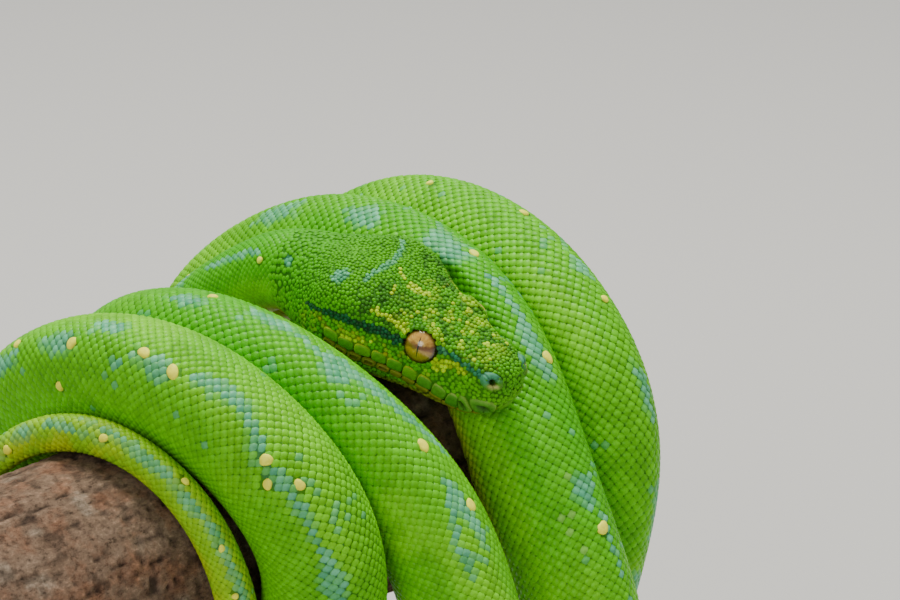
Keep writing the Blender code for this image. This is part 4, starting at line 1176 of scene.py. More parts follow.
def lips():
    """Upper and lower lip plates, with heat pits in the front upper ones and the rear lower ones."""
    rng = np.random.default_rng(3)
    for kind, above, count, tall, heights in (('upper', 1, 11, 0.66, UPPER_HEIGHT), ('lower', -1, 13, 0.44, LOWER_HEIGHT)):
        for pits in (False, True):
            tpl = PIT_LIP if pits else LIP
            X, C, U = [], [], []
            rng = np.random.default_rng(3 + above)
            for side in (1, -1):
                chart = lip_chart(side, above, 6.4)
                lead, far = (2.05 if above > 0 else 1.35), chart[0][-1] - 0.4
                widths = np.interp(np.arange(count), [0, 1, 3, 5, count], [0.95, 0.90, 0.92, 0.95, 0.98] if above > 0 else [0.9, 0.9, 1.0, 1.0, 1.0])*(0.92 + 0.16*rng.random(count))
                edge = lead + np.r_[0, np.cumsum(widths/widths.sum()*(far - lead))]
                for i in range(count):
                    tint, size_k = rng.random(), rng.random()
                    has_pit = (above > 0 and i in (0, 1)) or (above < 0 and 8 <= i <= 12)
                    a, b = edge[i], edge[i+1]
                    H = np.interp((a + b)/2, *np.array(heights).T)*(0.95 + 0.1*size_k)
                    if has_pit == pits:
                        x, y, h = tpl.pts.T
                        deep = (abs(x) < 0.24) & (abs(y) < 0.24) & pits
                        if above > 0:
                            # the pits of the upper lip are slanting slits
                            x, y = np.where(deep, 0.75*x + 0.45*y, x), np.where(deep, 1.15*y, y)
                            # each plate stands out most at its rear and slopes down to the one ahead
                            h = np.where(h > 0, h*(1 + 0.70*x), h) if not pits else h
                        else:
                            x = np.where(deep, 1.5*x, x)
                        t = 0.14 + (y + 0.5)*H
                        w = (b - a)*0.985*(1 - 0.06*(y + 0.5))
                        if pits:
                            cx, cy = x[deep].mean(), y[deep].mean()
                            c0, n0, _ = on_chart(chart, np.array([(a + b)/2 + cx*w.mean() + 0.08*H]), np.array([0.14 + (cy + 0.5)*H]))
                            PITS.append((c0[0], n0[0], 0.22*(b - a), 0.28*H))
                            CLEAR.append((c0[0], 1.15))
                        d = (a + b)/2 + x*w + 0.16*(y + 0.5)*H*(1 if above > 0 else 0.6)
                        P, N, _ = on_chart(chart, d, t)
                        X.append(P + N*(h*tall - 0.24)[:, None])
                        base = (srgb(66, 138, 12)*(1 - 0.5*tint) + srgb(120, 172, 14)*0.5*tint) if above > 0 else \
                            (srgb(138, 128, 40)*(1 - 0.5*tint) + srgb(112, 132, 24)*0.5*tint)
                        if above > 0 and i < 5:
                            base = base*0.75 + srgb(44, 118, 66)*0.25
                        # painted highlight: the raised rim of each lip plate is painted pale, most of all along the
                        # rear and upper edge of the upper lip's plates
                        back = np.clip(0.25 + 1.3*x + 1.1*y, 0, 1.5) if (above > 0 and not pits) else 1.0 + 0*x
                        rim_highlight = np.clip((np.clip(tpl.tone - (1.06 if above > 0 and not pits else 1.0), 0, 1)*((3.6 if pits else 8.0) if above > 0 else 1.4)*back)[:, None], 0, 0.80)
                        C.append(base*tpl.tone[:, None]*(1 - rim_highlight) + ((srgb(196, 206, 40) if i > 3 else srgb(176, 204, 92)) if above > 0 else srgb(160, 150, 64))*rim_highlight)
                        _, _, uv = on_chart(chart, np.array([(a + b)/2]), np.array([H/2]))
                        U.append(root_uv(*uv[0]))
                    if not pits:
                        g, k = np.meshgrid(np.linspace(a, b, 9), np.linspace(0, H, max(8, int(H/0.32))))
                        P, _, _ = on_chart(chart, (g + 0.16*k*(1 if above > 0 else 0.6)).ravel(), k.ravel())
                        for p in P:
                            keep_free(p, 0.36)
            PIECES.append(tpl.lay('lip_%s%s' % (kind, '_pits' if pits else ''), np.array(X), np.array(C), GRAINS, np.array(U), 60))
    # the plate at the tip of the snout and the one at the tip of the chin
    p, t, up, left = strand.frame(np.array([1.5]))
    P0, N0, A0, U = [], [], [], []
    for s0, v0, r in ((3.9, 0.5, 0.8),):
        k = int(np.argmin((HEAD_S - s0)**2 + ((HEAD_V - v0)*40)**2))
        P0.append(HEAD_P[k]); N0.append(HEAD_N[k]); A0.append(unit(left[0] - HEAD_N[k]*(left[0] @ HEAD_N[k]))); U.append(root_uv(HEAD_S[k], HEAD_V[k]))
        keep_free(HEAD_P[k], r)
    P0, N0, A0, U = map(np.array, (P0, N0, A0, U))
    PIECES.append(placed('lip_chin', P0, N0, A0, np.array([2.2]), np.array([1.4]), np.array([0.4]), LIP,
                         np.array([srgb(146, 138, 48)]), GRAINS, U))
    # the snout's own plate stands on the lip between the first pair
    foot, _, _ = on_chart(lip_chart(1, 1, 6.4), np.array([0.0]), np.array([0.0]))
    wide, high = 3.6, 3.1
    q, n, s0, v0 = to_surface(foot[0] + up[0]*(0.5*high + 0.1))
    n = unit(HEAD_N[np.linalg.norm(HEAD_P - q, axis=1) < 1.5].mean(0))
    ax = unit(left[0] - n*(left[0] @ n))
    ay = np.cross(n, ax)
    tops = []
    for gx in np.linspace(-0.5, 0.5, 7):
        for gy in np.linspace(-0.5, 0.5, 7):
            x = q + ax*gx*wide*0.9 + ay*gy*high*0.9
            CLEAR.append((x, 0.55))
            tops.append((to_surface(x)[0] - q) @ n)
    # its level is that of the skin it covers
    q = q + n*np.quantile(tops, 0.6)
    PIECES.append(placed('lip_front', q[None], n[None], ax[None], np.array([wide]), np.array([high]), np.array([0.62]), LIP,
                         np.array([srgb(88, 154, 20)]), GRAINS, np.array([root_uv(s0, v0)])))


def eye_rings():
    """The row of small scales that borders each eye."""
    P0, N0, A0, LA, LB, C, U = [], [], [], [], [], [], []
    rng = np.random.default_rng(8)
    for side in (1, -1):
        c, ax = EYES[side]
        p, t, up, left = strand.frame(np.array([EYE_BEHIND_SNOUT]))
        e1 = unit(up[0] - ax*(up[0] @ ax))
        e2 = np.cross(ax, e1)
        count = 26
        for i in range(count):
            g = 2*pi*(i + 0.5)/count
            r = e1*cos(g)*LID_TALL + e2*sin(g)*LID_WIDE
            X = c + ax*2.6 + r*EYE_RING
            for _ in range(4):
                # settle on the surface at the ring's radius
                q, nn, s0, v0 = to_surface(X)
                X = c + ax*((q - c) @ ax) + r*EYE_RING
            ta = np.cross(ax, r)
            ta = unit(ta - nn*(ta @ nn))
            q, nn, s0, v0 = to_surface(X)
            P0.append(q); N0.append(nn); A0.append(ta)
            LA.append(0.98*(0.9 + 0.2*rng.random())); LB.append(0.86*(0.9 + 0.2*rng.random()))
            f = signed(lookup(GA, np.array([s0]), np.array([v0])))
            col, _ = paint(np.array([s0]), f, rng.random(1))
            C.append(col[0]*0.9)
            U.append(root_uv(s0, v0))
            keep_free(q, 0.50)
        for rr in np.linspace(0, EYE_RING, 9):
            for g in np.linspace(0, 2*pi, 40):
                keep_free(to_surface(c + ax*2.4 + (e1*cos(g)*LID_TALL + e2*sin(g)*LID_WIDE)*rr)[0], 0.30)
    P0, N0, A0, LA, LB, C, U = map(np.array, (P0, N0, A0, LA, LB, C, U))
    PIECES.append(placed('eye_ring', P0, N0, A0, LA, LB, np.full(len(P0), 0.42), PLATE, C, GRAINS, U))


def nostril_rings():
    """The swollen ring of three plates round each nostril."""
    m, n = 60, 9
    co, loops, totals, cols, uvs, base = [], [], [], [], [], 0
    for side in (1, -1):
        c, ax, s0, v0 = to_surface(NOSTRILS[side])
        k = np.linalg.norm(HEAD_P - NOSTRILS[side], axis=1)
        near = k < 2.6
        ax = unit(HEAD_N[near].mean(0))
        p, t, up, left = strand.frame(np.array([NOSTRIL[0]]))
        e1 = unit(up[0] - ax*(up[0] @ ax))           # up the snout
        e2 = unit(-t[0] - ax*(-t[0] @ ax))           # ahead
        g = np.arange(m)*2*pi/m
        u = np.linspace(0, 1, n)
        # from inside the hole, over the swelling, to the outer edge
        R = np.interp(u, [0, 0.25, 0.5, 0.8, 1.0], [0.50, 0.72, 1.22, 1.90, 2.18])
        H = np.interp(u, [0, 0.25, 0.5, 0.8, 1.0], [-0.75, 0.05, 0.30, 0.10, -0.25])
        groove = sum(np.exp(-((((g - a + pi) % (2*pi)) - pi)/0.11)**2) for a in (0.9, 2.6, 4.9))
        squash = 1 + 0.13*np.cos(2*(g - 0.5)) + 0.04*np.cos(3*g + 1)
        P = np.zeros((n, m, 3))
        S, V = np.zeros((n, m)), np.zeros((n, m))
        for i in range(n):
            for j in range(m):
                x = NOSTRILS[side] + (e1*sin(g[j])*1.05 + e2*cos(g[j])*(1 + u[i]*(0.42 if cos(g[j]) < 0 else 0.16)))*R[i]*squash[j]
                q, nn, S[i, j], V[i, j] = to_surface(x)
                nn = unit(nn + ax)
                P[i, j] = q + nn*(H[i] - 0.16*groove[j]*(0.2 < u[i] < 0.95))
        # the hole's floor is ragged where the surface dips: take the ring's height from its outer half
        rim = P[n//2]
        for i in range(n//2):
            x = NOSTRILS[side] + (e1[None]*(np.sin(g)*1.05)[:, None] + e2[None]*(np.cos(g)*(1 + u[i]*np.where(np.cos(g) < 0, 0.42, 0.16)))[:, None])*(R[i]*squash)[:, None]
            lift = ((rim - x) @ ax) - (H[n//2] - H[i])
            P[i] = x + ax*lift[:, None]
        tall = np.cos(g - 2.2)                        # blue-green above and behind, green below and ahead
        w = fade(tall, -0.5, 0.5)[None, :, None]*np.ones((n, 1, 1))
        # painted shade and light: the ring is painted darker down into the hole and at its outer foot, and lightest on
        # top of its swelling
        ring_light_and_shade = np.interp(u, [0, 0.25, 0.5, 0.8, 1.0], [0.30, 0.75, 1.0, 0.85, 0.66])[:, None, None]
        tone = (srgb(74, 150, 110)*w + srgb(80, 146, 18)*(1 - w))*ring_light_and_shade
        # painted highlight: a pale spot on the swelling below the hole
        nostril_highlight = (fade(-np.sin(g - 0.35), 0.1, 0.8)[None]*np.exp(-((u - 0.34)/0.20)**2)[:, None])[..., None]
        tone = tone*(1 - 0.75*nostril_highlight) + srgb(214, 206, 130)*0.75*nostril_highlight
        # painted shade: darker in the grooves between the plates, and dark brown in the hole
        tone = tone*(1 - 0.35*groove)[None, :, None]
        tone[0] = srgb(86, 52, 40)
        q = grid_faces(n, m)
        loops.append((q + base).ravel())
        totals.append(np.full(len(q), 4))
        co.append(P.reshape(-1, 3))
        cols.append(np.clip(tone, 0, 1).reshape(-1, 3))
        root = root_uv(s0, v0)
        uvs.append(np.stack([root[0] + 0.012*(R[:, None]*np.cos(g)[None]/2.1), root[1] + 0.012*(R[:, None]*np.sin(g)[None]/2.1)], -1).reshape(-1, 2))
        base += n*m
        for rr in np.linspace(0, 1.9, 7):
            for a in np.linspace(0, 2*pi, 30):
                keep_free(to_surface(NOSTRILS[side] + (e1*sin(a) + e2*cos(a)*(1 + rr/1.9*(0.40 if cos(a) < 0 else 0.15)))*rr)[0], 0.30)
    ob = mesh_object('nostril_rings', np.vstack(co), np.concatenate(loops), np.concatenate(totals), GRAINS, np.vstack(cols), np.vstack(uvs), 70)
    import bmesh
    bm = bmesh.new()
    bm.from_mesh(ob.data)
    centre = {1: NOSTRILS[1], -1: NOSTRILS[-1]}
    bmesh.ops.recalc_face_normals(bm, faces=bm.faces)
    bm.to_mesh(ob.data)
    bm.free()
    ob.data.shade_smooth()
    PIECES.append(ob)


def head_scales():
    """Small rounded scales, close together and of uneven size, wherever nothing larger lies."""
    rng = np.random.default_rng(17)
    n = 130000
    # candidates spread evenly over the surface
    area = (RATE[:NH+6, :-1]*np.gradient(GS[:NH+6])[:, None])*GIRTH_MM[:NH+6, None]/AROUND
    prob = (area/area.sum()).ravel()
    cell = rng.choice(len(prob), n, p=prob)
    i, j = cell//AROUND, cell % AROUND
    S = GS[i] + (rng.random(n) - 0.5)*np.gradient(GS)[i]
    V = ((j + rng.random(n))/AROUND) % 1.0
    ok = (S > 0.25) & (S < FIRST_SCALE - 0.1)
    ok &= ~blocked.reshape(-1, AROUND)[i, j]
    S, V = S[ok], V[ok]
    Q = lookup(GQ, S, V)
    f = signed(lookup(GA, S, V))
    af = abs(f)
    crown = fade(S, 20, 26)*(1 - fade(S, 44, 56))*(1 - fade(af, 66, 84))
    pitch = GRANULE*(1.0 - 0.14*crown - 0.10*(1 - fade(S, 3, 8)) + 0.42*fade(S, 43, 58))*(1 + 0.12*fade(af, 80, 110))
    pitch = pitch*(0.94 + 0.12*noise(S/3.0, f/20.0, 51))
    p_, t_, up_, l_ = strand.frame(S)
    low = ((Q - p_)*up_).sum(-1) - mouth_height(S)
    free = ~((abs(low) < 0.32) & (S > 2.7) & (S < 38))
    S, V, Q, f, pitch = S[free], V[free], Q[free], f[free], pitch[free]
    # and on the very tip, ahead of the first ring
    k = 2500
    cap_v, cap_u = rng.random(k), np.sqrt(rng.random(k))*0.98
    rim = lookup(GQ, np.full(k, GS[0]), cap_v)
    heart = GQ[0, :-1].mean(0)
    first = len(S)
    S, V, Q = np.r_[S, np.full(k, GS[0])], np.r_[V, cap_v], np.vstack([Q, heart + (rim - heart)*cap_u[:, None]])
    f, pitch = np.r_[f, signed(lookup(GA, np.full(k, GS[0]), cap_v))], np.r_[pitch, np.full(k, 0.78*GRANULE)]
    cap = np.r_[np.ones(first), cap_u]
    front = np.nonzero(S < 14)[0]
    bad = np.zeros(len(S), bool)
    for c, r in CLEAR:
        bad[front] |= ((Q[front] - c)**2).sum(1) < r*r
    S, V, Q, f, pitch, cap = S[~bad], V[~bad], Q[~bad], f[~bad], pitch[~bad], cap[~bad]
    # keep a point only where no kept one is nearer than the pitch
    cellsize = 1.2
    grid = {}
    keep = []
    key = np.floor(Q/cellsize).astype(int).tolist()
    pts = Q.tolist()
    r2s = ((pitch*0.86)**2).tolist()
    around = [(a, b, c) for a in (-1, 0, 1) for b in (-1, 0, 1) for c in (-1, 0, 1)]
    for a in range(len(S)):
        kx, ky, kz = key[a]
        x, y, z = pts[a]
        r2, clash = r2s[a], False
        for dx, dy, dz in around:
            for bx, by, bz in grid.get((kx+dx, ky+dy, kz+dz), ()):
                if (x-bx)**2 + (y-by)**2 + (z-bz)**2 < r2:
                    clash = True
                    break
            if clash:
                break
        if not clash:
            grid.setdefault((kx, ky, kz), []).append((x, y, z))
            keep.append(a)
    keep = np.array(keep)
    keep = keep[np.argsort(S[keep], kind='stable')]
    S, V, f, pitch, Q, cap = S[keep], V[keep], f[keep], pitch[keep], Q[keep], cap[keep]
    n = len(S)
    each = rng.random(n)
    col, spot = paint(S, f, each)
    col = col*(1 + 0.40*(1 - 0.6*fade(S, 40, 57))*(rng.random(n) - 0.5))[:, None]
    N = unit(unit(lookup(GN, S, V))*cap[:, None] + unit(HEAD_AHEAD)[None]*(1 - cap[:, None]))
    A = lookup(GQ, S + 0.25, V) - lookup(GQ, np.maximum(S - 0.25, 0.22), V)
    A = unit(A - N*(A*N).sum(-1, keepdims=True))
    turn = rng.random(n)*6.28
    A = A*np.cos(turn)[:, None] + np.cross(N, A)*np.sin(turn)[:, None]
    size = pitch*(1.12 + 0.14*rng.random(n))
    tall = 0.28*pitch*(0.80 + 0.4*rng.random(n))*(1 - 0.22*fade(S, 32, 46) - 0.22*fade(S, 44, 57))
    uv = root_uv(S, V)
    share = 6800
    for i, a in enumerate(range(0, n, share)):
        q = slice(a, min(a + share, n))
        PIECES.append(set_down('scales_head_%d' % (i + 1), Q[q], N[q], A[q], size[q], size[q]*0.96, tall[q], 0.17, BEAD, col[q], GRAINS, uv[q], 80))
    return n


def sink_skin():
    """Lowers the skin under the heat pits and paints it nearly black, as the shade in the pits."""
    me = skin.data
    co = np.zeros(len(me.vertices)*3)
    me.vertices.foreach_get('co', co)
    co = co.reshape(-1, 3)
    SUNK = np.zeros(len(co), bool)
    for c, n, hx, hy in PITS:
        c = world(c[None])[0]
        d = (co - c)/MM
        out = d @ n
        flat = np.linalg.norm(d - out[:, None]*n, axis=1)/max(0.75*min(hx, hy) + 0.25*max(hx, hy), 0.5)
        k = (abs(out) < 2.0)*(1 - fade(flat, 0.7, 1.3))
        co -= n*(k*1.3*MM)[:, None]
        SUNK[k > 0.25] = True
    me.vertices.foreach_set('co', np.ascontiguousarray(co, np.float32).ravel())
    at = me.color_attributes['tone']
    rgba = np.zeros(len(co)*4, np.float32)
    at.data.foreach_get('color', rgba)
    rgba = rgba.reshape(-1, 4)
    # painted shade: the sunk skin in the pits is painted nearly black
    rgba[SUNK, :3] = (0.015, 0.02, 0.008)
    at.data.foreach_set('color', rgba.ravel())
    me.update()


nbody = body_scales()
belly_plates()
lips()
sink_skin()
eye_rings()
nostril_rings()
nhead = head_scales()
print('scales', nbody, nhead)


# ---------------------------------------------------------------------------------------------- eyes
def eye_material():
    m, nodes, links, b = new_material('snake_eye_glass', 0.22, 0.6, 1.0, 0.03)
    uvm = node(nodes, 'ShaderNodeUVMap', uv_map='eye_map')
    sep = nodes.new('ShaderNodeSeparateXYZ')
    links.new(uvm.outputs['UV'], sep.inputs['Vector'])

    def maths(op, a, bb=None, clamp=False):
        n = node(nodes, 'ShaderNodeMath', operation=op, use_clamp=clamp)
        for i, x in enumerate((a, bb)):
            if x is None:
                continue
            if isinstance(x, (int, float)):
                n.inputs[i].default_value = x
            else:
                links.new(x, n.inputs[i])
        return n.outputs[0]
    x = maths('SUBTRACT', sep.outputs['X'], 0.5)
    y = maths('SUBTRACT', sep.outputs['Y'], 0.5)
    x = maths('MULTIPLY', x, 2.0)
    y = maths('MULTIPLY', y, 2.0)
    rho = maths('SQRT', maths('ADD', maths('MULTIPLY', x, x), maths('MULTIPLY', y, y)))
    # iris: streaks that run out from the pupil, with mottling
    ang = maths('ARCTAN2', y, x)
    comb = nodes.new('ShaderNodeCombineXYZ')
    links.new(maths('MULTIPLY', maths('SINE', ang), 3.0), comb.inputs['X'])
    links.new(maths('MULTIPLY', maths('COSINE', ang), 3.0), comb.inputs['Y'])
    links.new(maths('MULTIPLY', rho, 0.6), comb.inputs['Z'])
    streak = node(nodes, 'ShaderNodeTexNoise', Scale=7.0, Detail=6.0, Roughness=0.7)
    links.new(comb.outputs['Vector'], streak.inputs['Vector'])
    mott = node(nodes, 'ShaderNodeTexNoise', Scale=9.0, Detail=5.0, Roughness=0.65)
    links.new(uvm.outputs['UV'], mott.inputs['Vector'])
    iris = ramp(nodes, [(0.26, tuple(srgb(92, 52, 12))), (0.40, tuple(srgb(176, 120, 34))), (0.54, tuple(srgb(214, 164, 62))),
                        (0.74, tuple(srgb(246, 214, 128)))])
    links.new(maths('ADD', maths('MULTIPLY', streak.outputs['Fac'], 0.55), maths('MULTIPLY', mott.outputs['Fac'], 0.45)),
              iris.inputs['Fac'])

    def blend(fac, c1, c2):
        n = node(nodes, 'ShaderNodeMix', data_type='RGBA')
        links.new(fac, n.inputs['Factor'])
        for sock, c in ((n.inputs[6], c1), (n.inputs[7], c2)):
            if isinstance(c, tuple):
                sock.default_value = (*c, 1)
            else:
                links.new(c, sock)
        return n.outputs[2]

    def step(value, lo, hi):
        n = node(nodes, 'ShaderNodeMapRange', interpolation_type='SMOOTHSTEP')
        links.new(value, n.inputs['Value'])
        n.inputs['From Min'].default_value = lo
        n.inputs['From Max'].default_value = hi
        return n.outputs['Result']
    # brown smudge across the middle, wider towards the front and the back
    ay = maths('ABSOLUTE', maths('ADD', y, maths('MULTIPLY', maths('SUBTRACT', mott.outputs['Fac'], 0.5), 0.35)))
    band = maths('SUBTRACT', 1.0, step(ay, 0.05, 0.24))
    col = blend(maths('MULTIPLY', band, 0.86), iris.outputs['Color'], tuple(srgb(104, 44, 10)))
    low = maths('SUBTRACT', 1.0, step(y, -0.55, -0.05))
    col = blend(maths('MULTIPLY', low, 0.80), col, tuple(srgb(112, 100, 12)))
    rim = step(rho, 0.60, 0.80)
    col = blend(rim, col, tuple(srgb(36, 24, 6)))
    # upright slit
    px = maths('DIVIDE', x, 0.034)
    py = maths('DIVIDE', y, 0.50)
    pupil = maths('SUBTRACT', 1.0, step(maths('ADD', maths('MULTIPLY', px, px), maths('MULTIPLY', py, py)), 0.75, 1.25))
    col = blend(pupil, col, (0.004, 0.003, 0.002))
    links.new(col, b.inputs['Base Color'])
    return m


EYE_MAT = eye_material()


def build_eye(name, side):
    c, ax = EYES[side]
    p, t, up, left = strand.frame(np.array([EYE_BEHIND_SNOUT]))
    e1 = unit(up[0] - ax*(up[0] @ ax))          # up the eye
    e2 = np.cross(e1, ax)*(1 if side > 0 else -1)
    if e2 @ unit(HEAD_AHEAD) < 0:
        e2 = -e2                                 # ahead
    n, m = 40, 72
    th = np.linspace(0, pi, n)[1:-1]
    a = np.arange(m)*2*pi/m
    dirs = (np.cos(th)[:, None, None]*ax + np.sin(th)[:, None, None]*(np.cos(a)[None, :, None]*e2 + np.sin(a)[None, :, None]*e1))
    co = np.concatenate([(c + dirs*EYE_RADIUS).reshape(-1, 3), [c + ax*EYE_RADIUS, c - ax*EYE_RADIUS]])
    k = len(th)
    q = grid_faces(k, m)
    j = np.arange(m)
    f1 = np.stack([np.full(m, k*m), (j+1) % m, j], -1)
    f2 = np.stack([(k-1)*m + j, (k-1)*m + (j+1) % m, np.full(m, k*m + 1)], -1)
    if np.cross(e2, e1) @ ax < 0:
        q, f1, f2 = q[:, ::-1], f1[:, ::-1], f2[:, ::-1]
    q = q[:, ::-1]
    f1, f2 = f1[:, ::-1], f2[:, ::-1]
    faces = [q, f1, f2]
    loops = np.concatenate([f.ravel() for f in faces])
    totals = np.concatenate([np.full(len(f), f.shape[1]) for f in faces])
    ob = mesh_object(name, co, loops, totals, EYE_MAT)
    d = (co - c)/EYE_RADIUS
    uv = np.stack([0.5 + 0.5*(d @ e2), 0.5 + 0.5*(d @ e1)], -1)
    layer = ob.data.uv_layers.new(name='eye_map')
    layer.uv.foreach_set('vector', np.ascontiguousarray(uv[loops], np.float32).ravel())
    fix_normals(ob)
    return ob


def fix_normals(ob):
    """Turns all faces outward."""
    import bmesh
    bm = bmesh.new()
    bm.from_mesh(ob.data)
    bmesh.ops.recalc_face_normals(bm, faces=bm.faces)
    bm.to_mesh(ob.data)
    bm.free()
    ob.data.shade_smooth()


eye_right = build_eye('eyeball_right', 1)
eye_left = build_eye('eyeball_left', -1)


# ---------------------------------------------------------------------------------------------- the branch
def bark_material():
    m, nodes, links, b = new_material('perch_bark', 0.86, 0.22)
    tone = node(nodes, 'ShaderNodeVertexColor', layer_name='tone')
    place = nodes.new('ShaderNodeTexCoord')
    mapping = node(nodes, 'ShaderNodeMapping')
    mapping.inputs['Scale'].default_value = (0.75, 1.0, 1.0)
    links.new(place.outputs['Object'], mapping.inputs['Vector'])
    grain = node(nodes, 'ShaderNodeTexNoise', Scale=900.0, Detail=9.0, Roughness=0.78)
    links.new(mapping.outputs['Vector'], grain.inputs['Vector'])
    # the same grain raises the bump, so its low parts are painted dark and its high parts light: partly the bark's own
    # speckle and partly painted shade and light
    shade = ramp(nodes, [(0.34, (0.22, 0.19, 0.17)), (0.46, (0.78, 0.74, 0.72)), (0.56, (1.12, 1.08, 1.05)), (0.70, (1.95, 1.90, 1.84))])
    links.new(grain.outputs['Fac'], shade.inputs['Fac'])
    mul = node(nodes, 'ShaderNodeMix', data_type='RGBA', blend_type='MULTIPLY')
    mul.inputs['Factor'].default_value = 1.0
    links.new(tone.outputs['Color'], mul.inputs[6])
    links.new(shade.outputs['Color'], mul.inputs[7])
    # reddish stains
    stain = node(nodes, 'ShaderNodeTexNoise', Scale=160.0, Detail=5.0, Roughness=0.65)
    links.new(place.outputs['Object'], stain.inputs['Vector'])
    amount = node(nodes, 'ShaderNodeMapRange')
    amount.inputs['From Min'].default_value = 0.48
    amount.inputs['From Max'].default_value = 0.66
    amount.inputs['To Max'].default_value = 0.55
    links.new(stain.outputs['Fac'], amount.inputs['Value'])
    tint = node(nodes, 'ShaderNodeMix', data_type='RGBA', blend_type='MULTIPLY')
    links.new(amount.outputs['Result'], tint.inputs['Factor'])
    links.new(mul.outputs[2], tint.inputs[6])
    tint.inputs[7].default_value = (1.25, 0.78, 0.56, 1)
    links.new(tint.outputs[2], b.inputs['Base Color'])
    bump = node(nodes, 'ShaderNodeBump', Strength=0.9, Distance=0.0005)
    links.new(grain.outputs['Fac'], bump.inputs['Height'])
    links.new(bump.outputs['Normal'], b.inputs['Normal'])
    return m


def wood_end_material():
    """Sawn wood: fine uneven rings that darken to the pith, and saw marks."""
    m, nodes, links, b = new_material('perch_sawn_end', 0.8, 0.2)
    tone = node(nodes, 'ShaderNodeVertexColor', layer_name='tone')
    place = nodes.new('ShaderNodeTexCoord')
    mapping = node(nodes, 'ShaderNodeMapping')
    mapping.inputs['Location'].default_value = (0.0, 0.0040, -AXIS_HEIGHT*MM - 0.0027)
    mapping.inputs['Scale'].default_value = (0.02, 1.0, 0.93)
    links.new(place.outputs['Object'], mapping.inputs['Vector'])
    rings_ = node(nodes, 'ShaderNodeTexWave', wave_type='RINGS', rings_direction='X', Scale=330.0, Distortion=5.0, Detail=4.0)
    rings_.inputs['Detail Scale'].default_value = 0.35
    links.new(mapping.outputs['Vector'], rings_.inputs['Vector'])
    blotch = node(nodes, 'ShaderNodeTexNoise', Scale=130.0, Detail=5.0, Roughness=0.6)
    links.new(place.outputs['Object'], blotch.inputs['Vector'])
    level = node(nodes, 'ShaderNodeMath', operation='MULTIPLY_ADD')
    links.new(rings_.outputs['Fac'], level.inputs[0])
    level.inputs[1].default_value = 0.42
    links.new(blotch.outputs['Fac'], level.inputs[2])
    col = ramp(nodes, [(0.35, tuple(srgb(150, 120, 88))), (0.62, tuple(srgb(180, 150, 112))), (0.95, tuple(srgb(198, 172, 134)))])
    links.new(level.outputs[0], col.inputs['Fac'])
    mul = node(nodes, 'ShaderNodeMix', data_type='RGBA', blend_type='MULTIPLY')
    mul.inputs['Factor'].default_value = 1.0
    links.new(col.outputs['Color'], mul.inputs[6])
    links.new(tone.outputs['Color'], mul.inputs[7])
    links.new(mul.outputs[2], b.inputs['Base Color'])
    saw = node(nodes, 'ShaderNodeTexWave', wave_type='BANDS', bands_direction='Z', Scale=420.0, Distortion=1.5, Detail=2.0)
    links.new(place.outputs['Object'], saw.inputs['Vector'])
    both = node(nodes, 'ShaderNodeMath', operation='MULTIPLY_ADD')
    links.new(saw.outputs['Fac'], both.inputs[0])
    both.inputs[1].default_value = 0.5
    links.new(level.outputs[0], both.inputs[2])
    bump = node(nodes, 'ShaderNodeBump', Strength=0.35, Distance=0.0003)
    links.new(both.outputs[0], bump.inputs['Height'])
    links.new(bump.outputs['Normal'], b.inputs['Normal'])
    return m


